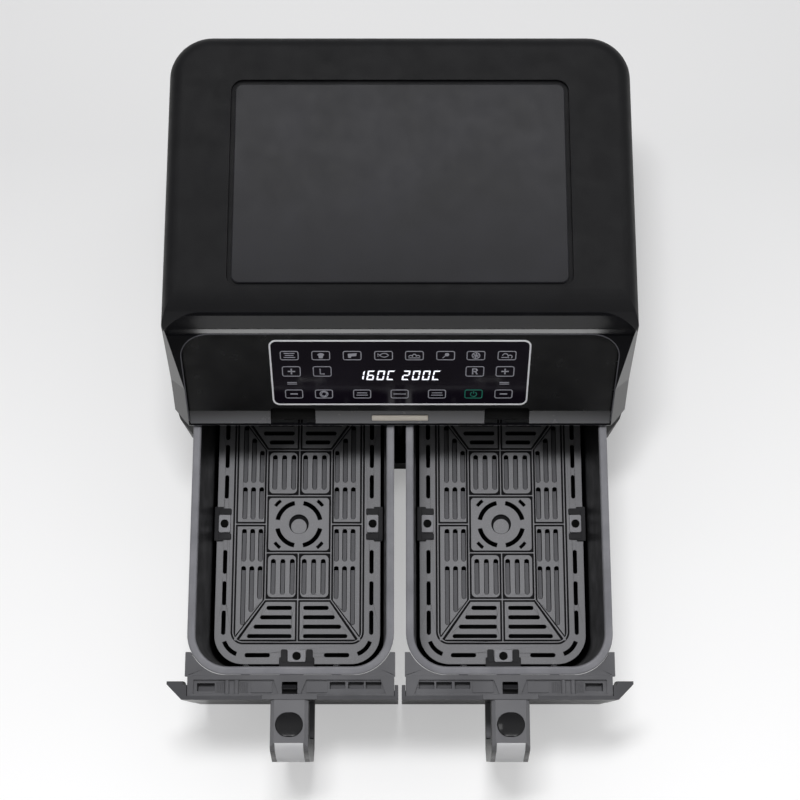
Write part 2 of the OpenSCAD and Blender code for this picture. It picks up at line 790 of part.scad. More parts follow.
trough_low = 4.7;                // front and rear edges of the trough in the rail
trough_high = 16.2;
boss_low_w = 18;                 // latch boss at its front and rear edges
boss_high_w = 27;
pocket_deep = 11;
window_w = 12.8;
module drawer_frame(side) color("#66666a") {
    x0 = flat_x + 1 + skin_t + fit_gap;
    x1 = inner_x - skin_t - fit_gap;
    trough_z = frame_top_z - 2.2;
    in_drawer(side) {
        difference() {
            union() {
                // Rail behind the front skin
                translate([x0, skin_t, frame_top_z - rail_h]) cube([x1 - x0, rail_d - skin_t, rail_h]);
                // Shoulders beside the basket's round front corners
                translate([0, 0, frame_top_z - 5]) linear_extrude(4) difference() {
                    translate([-rim_w / 2 - 1, rail_d - 1]) square([rim_w + 2, 20]);
                    translate([0, rim_setback + rim_l / 2]) rounded(rim_w + 0.6, rim_l + 0.6, rim_r);
                }
                // Bosses that take the basket screws
                for (s = [-1, 1]) translate([s * 38, rail_d - 1, frame_top_z - 13]) rotate([-90, 0, 0])
                    cylinder(h = rim_setback + rim_flange - rail_d + 1, d = 8);
            }
            // Trough in the rail's top face, on both sides of the latch boss
            translate([0, 0, trough_z]) linear_extrude(3) {
                polygon([[x0 + 5, trough_low], [-boss_low_w / 2, trough_low], [-boss_high_w / 2, trough_high],
                    [x0 + 5, trough_high]]);
                polygon([[boss_low_w / 2, trough_low], [x1 - 7, trough_low], [x1 - 11, trough_high],
                    [boss_high_w / 2, trough_high]]);
            }
            rail_window(-76.7, -62.2, 7, 13.5, pocket_deep);
            for (x = [33, 48.2, 62.7]) rail_window(x, x + 12.8, 9, 14.5, pocket_deep);
            // Window over the latch tongue and the passage of its arm
            rail_window(-window_w / 2, window_w / 2, trough_low, 14.6, rail_h + cut);
            translate([-latch_w / 2 - 1, skin_t - cut, frame_top_z - rail_h - cut])
                cube([latch_w + 2, 12 + cut, rail_h - 4.5 + cut]);
            for (s = [-1, 1]) translate([s * 38, rail_d - 8, frame_top_z - 13]) rotate([-90, 0, 0])
                cylinder(h = 30, d = 3);
        }
        // Half-round ribs across the trough
        for (x = [-51.9, -44.1]) translate([x, trough_low - 0.5, trough_z]) rotate([-90, 0, 0])
            cylinder(h = trough_high - trough_low + 1, r = 2);
        // Pads beside the latch boss
        for (x = [-31.9, 13.8]) translate([x, trough_low + 1.2, trough_z - 1]) cube([17.2, 9, 2]);
    }
}

module basket_screws(side) color("#c8c8cc") {
    in_drawer(side) for (s = [-1, 1]) {
        wall_in = rim_setback + rim_flange + basket_wall + 0.7;
        translate([s * 38, wall_in, frame_top_z - 13]) rotate([-90, 0, 0]) intersection() {
            translate([0, 0, -1.2]) sphere(d = 6.4);
            cylinder(h = 4, d = 6.4);
        }
    }
}

// ---------- handles ----------

handle_top_z = front_top_z;
button_h = 7;
button_proud = 0.5;
dish_r = 30;
arm_t = 3;
arm_z = handle_top_z + button_proud - button_h - arm_t;
tongue_z = fascia_z - 0.4;
handle_low_z = handle_top_z - handle_h;
gap_top = 17;
gap_low = 13;
button_y = -20;
well_floor = handle_top_z - 13;
top_run = 34.7;                  // flat top, then a facet, then the sloping nose
facet = 6.4;
nose_drop = 30;
chin = 11;
gap_r = 6;
gap_h = handle_h - gap_top - gap_low;
side_chamfer = 3.4;              // chamfer along the top edges

// Side view of the handle: [distance out of the face, height]
// Side view of the handle: [distance out of the face, height]
function handle_face(inset) = [[top_run, handle_top_z - inset * 0.4], [top_run, handle_top_z],
    [top_run + facet, handle_top_z - facet], [handle_reach, handle_top_z - nose_drop],
    [handle_reach, handle_low_z + chin], [handle_reach - inset, handle_low_z + chin],
    [handle_reach - inset, handle_top_z - nose_drop - inset * 0.1],
    [top_run + facet - inset * 0.8, handle_top_z - facet - inset * 0.7]];

module handle_side() {
    difference() {
        polygon([[0, handle_low_z], [handle_reach - chin, handle_low_z], [handle_reach, handle_low_z + chin],
            [handle_reach, handle_top_z - nose_drop], [top_run + facet, handle_top_z - facet],
            [top_run, handle_top_z], [0, handle_top_z]]);
        // Finger gap
        translate([-cut, handle_low_z + gap_low]) square([handle_reach - grip_t - gap_r + cut, gap_h]);
        translate([-cut, handle_low_z + gap_low + gap_r]) square([handle_reach - grip_t + cut, gap_h - 2 * gap_r]);
        for (z = [handle_low_z + gap_low + gap_r, handle_top_z - gap_top - gap_r])
            translate([handle_reach - grip_t - gap_r, z]) circle(gap_r);
    }
}

// Oval outline of the release button, at its place on the handle
module oval(l, w) {
    translate([0, button_y]) {
        square([l - w, w], center = true);
        for (s = [-1, 1]) translate([s * (l - w) / 2, 0]) circle(w / 2);
    }
}

trim_t = 1.5;
trim_w = handle_w - 8;
module handle(side) color("#1a1a1c") {
    in_drawer(side) difference() {
        translate([-handle_w / 2, 0, 0]) rotate([90, 0, 90]) linear_extrude(handle_w) mirror([1, 0]) handle_side();
        // Chamfers along the top and the nose
        for (s = [-1, 1]) translate([s * handle_w / 2, 0, handle_top_z]) rotate([0, 45, 0])
            cube([side_chamfer * sqrt(2), 3 * handle_reach, side_chamfer * sqrt(2)], center = true);
        // Seat of the metal trim
        trim_form(trim_t, trim_w);
        // Well of the release button and the passage of its slider
        translate([0, 0, well_floor]) linear_extrude(20) oval(button_l + 0.8, button_w + 0.8);
        translate([-latch_w / 2 - 0.5, button_y, well_floor]) cube([latch_w + 1, -button_y + cut, 9]);
    }
}

// Band that wraps the handle's nose and front
module trim_form(t, w) {
    translate([-w / 2, 0, 0]) rotate([90, 0, 90]) linear_extrude(w) mirror([1, 0]) polygon(handle_face(t));
}

module handle_trim(side) color("#c4c6ca") {
    in_drawer(side) trim_form(trim_t, trim_w);
}

module release_button(side) color("#242426") {
    in_drawer(side) difference() {
        translate([0, 0, arm_z + arm_t]) linear_extrude(button_h) oval(button_l, button_w);
        translate([0, button_y, handle_top_z + button_proud + dish_r - 2]) sphere(r = dish_r);
    }
}

module latch_slider(side) color("#2e2e30") {
    in_drawer(side) {
        // Arm under the button, through the front skin, to the tongue
        translate([-latch_w / 2, button_y, arm_z]) cube([latch_w, latch_y + latch_t - button_y, arm_t]);
        translate([-tongue_w / 2, latch_y, arm_z]) rotate([90, 0, 90]) linear_extrude(tongue_w)
            polygon([[0, 0], [latch_t, 0], [latch_t, tongue_z - arm_z - 3.5], [1, tongue_z - arm_z],
                [0, tongue_z - arm_z]]);
    }
}

module button_spring(side) color("#b0b0b4") {
    h = arm_z - well_floor;
    in_drawer(side) translate([0, button_y + 4, well_floor]) difference() {
        cylinder(h = h, d = 7);
        translate([0, 0, -cut]) cylinder(h = h + 2 * cut, d = 5);
    }
}

// ---------- crisper plates ----------

module quarter_turns() {
    for (sx = [0, 1], sy = [0, 1]) mirror([sx, 0]) mirror([0, sy]) children();
}

// Arc-shaped slot about a centre
module arc_slot(r, w, a0, a1) {
    rotate(a0) intersection() {
        difference() {
            circle(r + w / 2);
            circle(r - w / 2);
        }
        polygon([[0, 0], [2 * r, 0], [2 * r * cos((a1 - a0) / 2), 2 * r * sin((a1 - a0) / 2)] * 1.2,
            [2 * r * cos(a1 - a0), 2 * r * sin(a1 - a0)]]);
    }
}

// The pattern is drawn for a plate of 147 by 249 mm and follows the plate's size.
px = plate_w / 147;
py = plate_l / 249;
cell_pitch = 8.5 * px;
column_pitch = 7.4 * px;
column_x = 34 * px;
middle_x = 29.2 * px;            // centre lines of the ribs between the cells
middle_y = 25.9 * py;
cell_y = 67.6 * py;
rib_w = 1.4;
rib_gap = 1.2;
cell_in = rib_w / 2 + rib_gap;
frame_w = 114 * px;              // centre line of the rib round all cells
frame_l = 210 * py;
frame_r = 9;
pad_h = 0.9;

module plate_vents() {
    quarter_turns() {
        // Two middle cells
        for (i = [0:2]) translate([5.3 * px + i * cell_pitch, 47.3 * py]) slot(31.5 * py);
        // Side columns, the outer rows stepping back along the diagonal
        for (i = [0:2]) {
            x = column_x + i * column_pitch;
            translate([x, 19 * py]) slot(29 * py);
            end = (67 + i * 11.5) * py;
            translate([x, (38 * py + end) / 2]) slot(end - 38 * py);
        }
        // End cell
        for (i = [0:3]) {
            inner = 5.2 * px;
            outer = (27.4 + i * 5.6) * px;
            translate([(inner + outer) / 2, (75 + i * 8.3) * py]) rotate(90) slot(outer - inner, 3.3);
        }
        // Outer flange
        for (y = [34, 62, 88]) translate([plate_w / 2 - 8, y * py]) slot(21 * py, 3.4);
        translate([35 * px, plate_l / 2 - 8]) rotate(90) slot(22 * px, 3.4);
        translate([plate_w / 2 - plate_r, plate_l / 2 - plate_r]) arc_slot(plate_r - 8, 3.4, 20, 70);
        // Ring in the middle
        arc_slot(19.5 * px, 3.6, 12, 78);
        arc_slot(27 * px, 2.6, 38, 52);
    }
}

// Raised pads: the flange, the rib round the cells, the cells and the ribs between them
module plate_pads() {
    edge_x = frame_w / 2 - cell_in;
    edge_y = frame_l / 2 - cell_in;
    difference() {
        rounded(plate_w, plate_l, plate_r);
        rounded(frame_w + 2 * cell_in, frame_l + 2 * cell_in, frame_r + cell_in);
    }
    difference() {
        rounded(frame_w + rib_w, frame_l + rib_w, frame_r + rib_w / 2);
        rounded(frame_w - rib_w, frame_l - rib_w, frame_r - rib_w / 2);
    }
    rounded(2 * (middle_x - cell_in), 2 * (middle_y - cell_in), 3);
    quarter_turns() {
        translate([middle_x / 2, (middle_y + cell_y) / 2])
            rounded(middle_x - 2 * cell_in, cell_y - middle_y - 2 * cell_in, 4);
        polygon([[middle_x + cell_in, cell_in], [edge_x, cell_in], [edge_x, edge_y - 3.2],
            [middle_x + cell_in, cell_y + 0.6]]);
        polygon([[cell_in, cell_y + cell_in], [middle_x - 0.9, cell_y + cell_in], [edge_x - 3.4, edge_y],
            [cell_in, edge_y]]);
        // Ribs
        translate([0, middle_y]) square([rib_w / 2, frame_l / 2 - middle_y]);
        translate([0, middle_y - rib_w / 2]) square([middle_x, rib_w]);
        translate([0, cell_y - rib_w / 2]) square([middle_x, rib_w]);
        translate([middle_x - rib_w / 2, 0]) square([rib_w, cell_y]);
        translate([middle_x, 0]) square([frame_w / 2 - middle_x, rib_w / 2]);
        polygon([[middle_x - 0.4, cell_y + 0.4], [middle_x + 0.4, cell_y - 0.4],
            [frame_w / 2 - 0.6, frame_l / 2 - 2.2], [frame_w / 2 - 2.2, frame_l / 2 - 0.8]]);
    }
}

foot_x = 62;
foot_y = 96;
foot_d = 7;
dish_d = 19;
dish_depth = 1.8;
module crisper_plate(side) color("#707074") {
    in_drawer(side) translate([0, rim_setback + rim_l / 2, plate_z]) {
        difference() {
            union() {
                translate([0, 0, -plate_t]) linear_extrude(plate_t) difference() {
                    rounded(plate_w, plate_l, plate_r);
                    plate_vents();
                }
                linear_extrude(pad_h) difference() {
                    plate_pads();
                    plate_vents();
                }
            }
            // Dish in the middle
            translate([0, 0, pad_h - dish_depth]) cylinder(h = dish_depth + cut, d1 = dish_d - 3, d2 = dish_d);
        }
        // Legs that stand on the basket floor
        for (sx = [-1, 1], sy = [-1, 1]) translate([sx * foot_x * px, sy * foot_y * py, fit_gap - plate_rise])
            cylinder(h = plate_rise - fit_gap - plate_t, d = foot_d);
    }
}

bumper_l = 31;
bumper_in = 6;
bumper_h = 9;
bumper_gap = 0.7;                // leaves the rubber just off the wall
module plate_bumpers(side) color("#141414") {
    wall_at_plate = basket_draft * (rim_z - plate_z) / basket_depth;
    reach_x = rim_w / 2 - rim_flange - basket_wall - wall_at_plate - bumper_gap - plate_w / 2;
    reach_y = rim_l / 2 - rim_flange - basket_wall - wall_at_plate - bumper_gap - plate_l / 2;
    in_drawer(side) translate([0, rim_setback + rim_l / 2, plate_z - plate_t / 2]) {
        for (s = [-1, 1]) {
            scale([s, 1, 1]) bumper(plate_w / 2, reach_x, false);
            scale([1, s, 1]) bumper(plate_l / 2, reach_y, true);
        }
    }
}

// Silicone clip that grips the plate's edge at a distance from its centre
module bumper(at, reach, turned) {
    rotate(turned ? 90 : 0) translate([at, 0, 0]) difference() {
        translate([-bumper_in, -bumper_l / 2, -bumper_h / 2]) cube([bumper_in + reach, bumper_l, bumper_h]);
        translate([-bumper_in - cut, -bumper_l / 2 - cut, -plate_t / 2])
            cube([bumper_in + cut, bumper_l + 2 * cut, plate_t + pad_h]);
    }
}

base_tray();
rubber_feet();
housing_shell();
top_panel();
front_surround();
fascia();
control_glass();
glass_bezel();
display_board();
power_board();
rear_cover();
cord_gland();
cover_screws();
base_screws();
temperature_probes();
chamber_liner(left);  // chamber_liner_left
heating_coil(left);  // heating_coil_left
coil_guard(left);  // coil_guard_left
fan_motor(left);  // fan_motor_left
motor_shaft(left);  // motor_shaft_left
hot_fan(left);  // hot_fan_left
cooling_fan(left);  // cooling_fan_left
drawer_switch(left);  // drawer_switch_left
switch_plunger(left);  // switch_plunger_left
basket(left);  // basket_left
drawer_frame(left);  // drawer_frame_left
drawer_front(left);  // drawer_front_left
handle(left);  // handle_left
handle_trim(left);  // handle_trim_left
basket_screws(left);  // basket_screws_left
release_button(left);  // release_button_left
latch_slider(left);  // latch_slider_left
button_spring(left);  // button_spring_left
crisper_plate(left);  // crisper_plate_left
plate_bumpers(left);  // plate_bumpers_left
chamber_liner(right);  // chamber_liner_right
heating_coil(right);  // heating_coil_right
coil_guard(right);  // coil_guard_right
fan_motor(right);  // fan_motor_right
motor_shaft(right);  // motor_shaft_right
hot_fan(right);  // hot_fan_right
cooling_fan(right);  // cooling_fan_right
drawer_switch(right);  // drawer_switch_right
switch_plunger(right);  // switch_plunger_right
basket(right);  // basket_right
drawer_frame(right);  // drawer_frame_right
drawer_front(right);  // drawer_front_right
handle(right);  // handle_right
handle_trim(right);  // handle_trim_right
basket_screws(right);  // basket_screws_right
release_button(right);  // release_button_right
latch_slider(right);  // latch_slider_right
button_spring(right);  // button_spring_right
crisper_plate(right);  // crisper_plate_right
plate_bumpers(right);  // plate_bumpers_right
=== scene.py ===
import json
import math

import bmesh
import bpy
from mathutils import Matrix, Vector


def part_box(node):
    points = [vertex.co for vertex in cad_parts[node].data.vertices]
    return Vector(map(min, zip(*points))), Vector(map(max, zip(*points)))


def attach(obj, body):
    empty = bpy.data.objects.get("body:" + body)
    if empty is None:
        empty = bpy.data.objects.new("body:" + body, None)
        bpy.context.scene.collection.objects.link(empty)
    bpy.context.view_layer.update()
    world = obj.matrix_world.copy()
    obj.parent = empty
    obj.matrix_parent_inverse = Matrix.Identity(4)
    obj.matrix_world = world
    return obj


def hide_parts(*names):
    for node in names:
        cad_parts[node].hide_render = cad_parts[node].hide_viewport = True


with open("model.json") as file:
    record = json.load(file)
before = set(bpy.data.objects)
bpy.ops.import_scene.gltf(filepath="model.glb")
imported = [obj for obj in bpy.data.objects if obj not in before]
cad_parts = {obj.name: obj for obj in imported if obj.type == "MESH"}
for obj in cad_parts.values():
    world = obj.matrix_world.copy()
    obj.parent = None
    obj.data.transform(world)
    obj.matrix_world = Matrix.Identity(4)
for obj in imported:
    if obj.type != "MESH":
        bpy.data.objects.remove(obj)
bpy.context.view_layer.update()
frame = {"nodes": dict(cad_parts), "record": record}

mm = 0.001
sides = {"left": -1, "right": 1}
# Where both drawers lie, in mm: off the centre line, the basket's middle and the front's face
drawerSizes = {"x": 91, "basketY": -93.5, "frontY": -251.5}
print("frame loaded:", len(frame["nodes"]), "nodes")


def newObject(name, data):
    made = bpy.data.objects.new(name, data)
    bpy.context.scene.collection.objects.link(made)
    return made


# Camera, light and floor

cameraSizes = {
    "place": (0.0, -0.2945, 1.430),      # metres, above the middle of the drawn-out drawers
    "tiltFromDown": 13.0,                # degrees off straight down, towards the rear
    "lens": 68.5,                        # mm on a 36 mm sensor
    "shiftY": 0.0025,
}


def makeCamera(s):
    data = bpy.data.cameras.new("camera")
    camera = newObject("camera", data)
    camera.location = s["place"]
    camera.rotation_euler = (math.radians(s["tiltFromDown"]), 0, 0)
    data.lens = s["lens"]
    data.sensor_width = 36
    data.shift_y = s["shiftY"]
    data.clip_start, data.clip_end = 0.01, 50
    bpy.context.scene.camera = camera


makeCamera(cameraSizes)
bpy.context.scene.view_settings.view_transform = "Standard"


def hexColour(code):
    # sRGB hex to the linear values a shader wants
    parts = [int(code[i:i + 2], 16) / 255 for i in (1, 3, 5)]
    return tuple(c / 12.92 if c <= 0.04045 else ((c + 0.055) / 1.055) ** 2.4 for c in parts) + (1.0,)


def addNode(tree, kind, settings=None, links=None):
    made = tree.nodes.new(kind)
    for name, value in (settings or {}).items():
        if isinstance(name, str) and hasattr(made, name):
            setattr(made, name, value)
        else:
            made.inputs[name].default_value = value
    for name, source in (links or {}).items():
        tree.links.new(source, made.inputs[name])
    return made


def fromTo(old, new):
    # Settings that carry one range of values over to another
    return {"From Min": old[0], "From Max": old[1], "To Min": new[0], "To Max": new[1]}


def setStops(node, low, lowColour, high, highColour):
    first, last = node.color_ramp.elements
    first.position, first.color = low, lowColour
    last.position, last.color = high, highColour


# name: place and size in metres, watts, the point aimed at, seen in reflections, falls on surfaces
studioLights = {
    "key": ((-0.10, 0.22, 1.95), (0.5, 0.2), 25.0, (0, 0, 0.1), False, True),
    "strip": ((0.0, 0.75, 1.5), (1.6, 0.25), 2.4, (0, 0, 0.1), True, True),
    "side": ((1.25, -0.1, 1.0), (0.4, 1.2), 1.5, (0, 0, 0.1), True, True),
    "front": ((0.0, -1.9, 0.50), (0.84, 0.32), 3.0, (0, 0, 0.1), True, False),
    "card": ((0.0, -1.6, 1.15), (0.84, 1.0), 1.6, (0, 0, 0.25), True, False),
}


def makeLight(name, place, size, power, aim, mirrored, spread):
    data = bpy.data.lights.new(name, "AREA")
    data.shape = "RECTANGLE"
    data.size, data.size_y = size
    data.energy = power
    light = newObject(name, data)
    light.location = place
    light.rotation_mode = "QUATERNION"
    light.rotation_quaternion = (Vector(aim) - Vector(place)).to_track_quat("-Z", "Y")
    light.visible_glossy, light.visible_diffuse = mirrored, spread


worldSizes = {
    "strength": 0.48,
    "mirroredShare": 0.44,               # of the strength, in reflections
    "frontShare": 0.10, "frontFade": (-0.75, 0.1),
    "lowTone": (0.42, 0.42, 0.43, 1), "wallTop": 0.75,
    "backdrop": (0.96, 0.96, 0.965, 1),
}


def makeWorld(s):
    world = bpy.data.worlds.new("studio")
    bpy.context.scene.world = world
    world.use_nodes = True
    tree = world.node_tree
    tree.nodes.clear()
    rays = addNode(tree, "ShaderNodeLightPath")
    seen = addNode(tree, "ShaderNodeMath", {"operation": "MAXIMUM"},
                   {0: rays.outputs["Is Camera Ray"], 1: rays.outputs["Is Transmission Ray"]})
    around = addNode(tree, "ShaderNodeTexCoord").outputs["Generated"]
    split = addNode(tree, "ShaderNodeSeparateXYZ", None, {"Vector": around})
    # The studio walls fall off below the overhead sheet
    wall = addNode(tree, "ShaderNodeValToRGB", None, {"Fac": split.outputs["Z"]})
    setStops(wall, 0.0, s["lowTone"], s["wallTop"], (1, 1, 1, 1))
    # Black flags round the set keep the reflections in polished parts low
    levels = {"To Min": s["strength"], "To Max": s["strength"] * s["mirroredShare"]}
    level = addNode(tree, "ShaderNodeMapRange", levels, {"Value": rays.outputs["Is Glossy Ray"]})
    # The set is open to the dark room in front, lit paper behind and at the sides
    front = addNode(tree, "ShaderNodeMapRange", fromTo(s["frontFade"], (s["frontShare"], 1.0)),
                    {"Value": split.outputs["Y"]})
    power = addNode(tree, "ShaderNodeMath", {"operation": "MULTIPLY"},
                    {0: level.outputs["Result"], 1: front.outputs["Result"]})
    soft = addNode(tree, "ShaderNodeBackground", None,
                   {"Color": wall.outputs["Color"], "Strength": power.outputs[0]})
    white = addNode(tree, "ShaderNodeBackground", {"Color": s["backdrop"], "Strength": 1.0})
    mix = addNode(tree, "ShaderNodeMixShader", None,
                  {0: seen.outputs[0], 1: soft.outputs[0], 2: white.outputs[0]})
    addNode(tree, "ShaderNodeOutputWorld", None, {"Surface": mix.outputs[0]})


floorSizes = {
    "reach": 4.0,                        # metres, as are the places where it fades
    "plainTone": (0.72, 0.72, 0.725, 1), "seenTone": (0.60, 0.60, 0.605, 1),
    "mirroredEnd": (-0.85, -0.62), "mirroredTones": (0.10, 0.82),
    "nearFade": (0.3, -0.35), "nearGlow": (0.15, 0.46),
    "farFade": (0.75, 2.4), "farGlow": 0.85,
    "roughness": 0.9, "specular": 0.1,
}


def makeFloor(s):
    r = s["reach"]
    mesh = bpy.data.meshes.new("floor")
    mesh.from_pydata([(-r, -r, 0), (r, -r, 0), (r, r, 0), (-r, r, 0)], [], [(0, 1, 2, 3)])
    floor = newObject("floor", mesh)
    material = bpy.data.materials.new("paperSweep")
    material.use_nodes = True
    tree = material.node_tree
    shader = tree.nodes["Principled BSDF"]
    rays = addNode(tree, "ShaderNodeLightPath")
    spot = addNode(tree, "ShaderNodeTexCoord")
    split = addNode(tree, "ShaderNodeSeparateXYZ", None, {"Vector": spot.outputs["Object"]})
    # Polished parts see a sheet that ends in front of the handles, with the dark studio beyond
    end = addNode(tree, "ShaderNodeMapRange", fromTo(s["mirroredEnd"], s["mirroredTones"]),
                  {"Value": split.outputs["Y"]})
    mirrored = addNode(tree, "ShaderNodeCombineColor", None,
                       {k: end.outputs["Result"] for k in ("Red", "Green", "Blue")})
    plain = addNode(tree, "ShaderNodeMix", {"data_type": "RGBA", 6: s["plainTone"]},
                    {0: rays.outputs["Is Glossy Ray"], 7: mirrored.outputs["Color"]})
    tone = addNode(tree, "ShaderNodeMix", {"data_type": "RGBA", 7: s["seenTone"]},
                   {0: rays.outputs["Is Camera Ray"], 6: plain.outputs[2]})
    tree.links.new(tone.outputs[2], shader.inputs["Base Color"])
    # The sheet brightens towards the viewer
    near = addNode(tree, "ShaderNodeMapRange", fromTo(s["nearFade"], s["nearGlow"]),
                   {"Value": split.outputs["Y"]})
    # Far off it turns to the white of the wall, so that no horizon shows
    away = addNode(tree, "ShaderNodeVectorMath", {"operation": "LENGTH"}, {0: spot.outputs["Object"]})
    far = addNode(tree, "ShaderNodeMapRange", fromTo(s["farFade"], (0.0, s["farGlow"])),
                  {"Value": away.outputs["Value"]})
    both = addNode(tree, "ShaderNodeMath", {"operation": "ADD"},
                   {0: near.outputs["Result"], 1: far.outputs["Result"]})
    glow = addNode(tree, "ShaderNodeMath", {"operation": "MULTIPLY"},
                   {0: both.outputs[0], 1: rays.outputs["Is Camera Ray"]})
    shader.inputs["Emission Color"].default_value = (1, 1, 1, 1)
    tree.links.new(glow.outputs[0], shader.inputs["Emission Strength"])
    shader.inputs["Roughness"].default_value = s["roughness"]
    shader.inputs["Specular IOR Level"].default_value = s["specular"]
    mesh.materials.append(material)


makeWorld(worldSizes)
for name, values in studioLights.items():
    makeLight(name, *values)
makeFloor(floorSizes)
print("studio ready")


# Finishes: object coordinates are metres, so a pattern of size s mm has scale 1000 / s.

def startFinish(name, slotName):
    material = bpy.data.materials.new(name)
    material.use_nodes = True
    tree = material.node_tree
    coords = addNode(tree, "ShaderNodeTexCoord").outputs["Object"]
    material["slotName"] = slotName
    return material, tree, tree.nodes["Principled BSDF"], coords


def unevenSheen(tree, shader, pattern, rough):
    # Roughness wanders between two values
    spread = addNode(tree, "ShaderNodeMapRange", fromTo((0.3, 0.7), rough), {"Value": pattern})
    tree.links.new(spread.outputs["Result"], shader.inputs["Roughness"])


def raisedBy(tree, shader, pattern, depth, strength=1.0):
    # Relief with its depth in mm
    bump = addNode(tree, "ShaderNodeBump", {"Strength": strength, "Distance": depth * mm},
                   {"Height": pattern})
    tree.links.new(bump.outputs["Normal"], shader.inputs["Normal"])


def turnedTo(tree, shader, share, colour):
    # The base colour gives way to another one as share rises from 0 to 1
    old = shader.inputs["Base Color"].links[0].from_socket
    tone = addNode(tree, "ShaderNodeMix", {"data_type": "RGBA", 7: hexColour(colour)}, {0: share, 6: old})
    tree.links.new(tone.outputs[2], shader.inputs["Base Color"])


def plastic(name, slotName, base, worn, rough, grainMm, grainDepth, patchMm=45, ior=1.5, coat=0.0):
    # Polymer straight from the tool: faint flow patches, a spark-eroded grain and slightly uneven sheen
    material, tree, shader, coords = startFinish(name, slotName)
    flow = addNode(tree, "ShaderNodeTexNoise", {"Scale": 1000 / patchMm, "Detail": 3.0, "Roughness": 0.55},
                   {"Vector": coords})
    tone = addNode(tree, "ShaderNodeValToRGB", None, {"Fac": flow.outputs["Fac"]})
    setStops(tone, 0.36, hexColour(base), 0.68, hexColour(worn))
    tree.links.new(tone.outputs["Color"], shader.inputs["Base Color"])
    sheen = addNode(tree, "ShaderNodeTexNoise", {"Scale": 1000 / (patchMm * 0.3), "Detail": 4.0},
                    {"Vector": coords})
    unevenSheen(tree, shader, sheen.outputs["Fac"], rough)
    grain = addNode(tree, "ShaderNodeTexNoise", {"Scale": 1000 / grainMm, "Detail": 2.0}, {"Vector": coords})
    raisedBy(tree, shader, grain.outputs["Fac"], grainDepth)
    shader.inputs["IOR"].default_value = ior
    shader.inputs["Coat Weight"].default_value = coat
    shader.inputs["Coat Roughness"].default_value = 0.06
    return material


def metal(name, slotName, base, tint, rough, strokeMm, depth, along="X", metallic=1.0):
    # Rolled or brushed metal: long fine strokes one way, with stain-like patches of tint
    material, tree, shader, coords = startFinish(name, slotName)
    strokeRatio = 40
    stretch = tuple(1 if axis == along else strokeRatio for axis in "XYZ")
    drawn = addNode(tree, "ShaderNodeMapping", {"Scale": stretch}, {"Vector": coords})
    strokes = addNode(tree, "ShaderNodeTexNoise", {"Scale": 1000 / (strokeMm * strokeRatio), "Detail": 3.0},
                      {"Vector": drawn.outputs["Vector"]})
    patches = addNode(tree, "ShaderNodeTexNoise", {"Scale": 1000 / 28, "Detail": 4.0}, {"Vector": coords})
    tone = addNode(tree, "ShaderNodeValToRGB", None, {"Fac": patches.outputs["Fac"]})
    setStops(tone, 0.35, hexColour(base), 0.75, hexColour(tint))
    tree.links.new(tone.outputs["Color"], shader.inputs["Base Color"])
    unevenSheen(tree, shader, strokes.outputs["Fac"], rough)
    raisedBy(tree, shader, strokes.outputs["Fac"], depth, 0.8)
    shader.inputs["Metallic"].default_value = metallic
    return material


def nonStick(name, slotName, base, speck, rough, speckMm, peelMm, peelDepth, metallic=0.0):
    # PTFE-type non-stick coat: sprayed, so it has orange peel and paler pigment specks
    material, tree, shader, coords = startFinish(name, slotName)
    cells = addNode(tree, "ShaderNodeTexVoronoi", {"Scale": 1000 / speckMm, "Randomness": 1.0},
                    {"Vector": coords})
    picks = addNode(tree, "ShaderNodeMapRange", fromTo((0.16, 0.26), (1.0, 0.0)),
                    {"Value": cells.outputs["Distance"]})
    clouds = addNode(tree, "ShaderNodeTexNoise", {"Scale": 1000 / 20, "Detail": 4.0}, {"Vector": coords})
    amount = addNode(tree, "ShaderNodeMath", {"operation": "MULTIPLY"},
                     {0: picks.outputs["Result"], 1: clouds.outputs["Fac"]})
    tone = addNode(tree, "ShaderNodeMix", {"data_type": "RGBA", 6: hexColour(base), 7: hexColour(speck)},
                   {0: amount.outputs[0]})
    tree.links.new(tone.outputs[2], shader.inputs["Base Color"])
    unevenSheen(tree, shader, clouds.outputs["Fac"], rough)
    peel = addNode(tree, "ShaderNodeTexNoise", {"Scale": 1000 / peelMm, "Detail": 2.0}, {"Vector": coords})
    raisedBy(tree, shader, peel.outputs["Fac"], peelDepth)
    shader.inputs["Metallic"].default_value = metallic
    shader.inputs["IOR"].default_value = 1.38
    return material


def printedInk(name, slotName, colour, glow):
    # Screen print on the back of touch glass, lit from behind
    material, tree, shader, coords = startFinish(name, slotName)
    mottle = addNode(tree, "ShaderNodeTexNoise", {"Scale": 1000 / 3, "Detail": 2.0}, {"Vector": coords})
    tone = addNode(tree, "ShaderNodeValToRGB", None, {"Fac": mottle.outputs["Fac"]})
    setStops(tone, 0.0, tuple(0.72 * c for c in hexColour(colour)[:3]) + (1,), 1.0, hexColour(colour))
    tree.links.new(tone.outputs["Color"], shader.inputs["Base Color"])
    tree.links.new(tone.outputs["Color"], shader.inputs["Emission Color"])
    shader.inputs["Emission Strength"].default_value = glow
    shader.inputs["Roughness"].default_value = 0.35
    return material


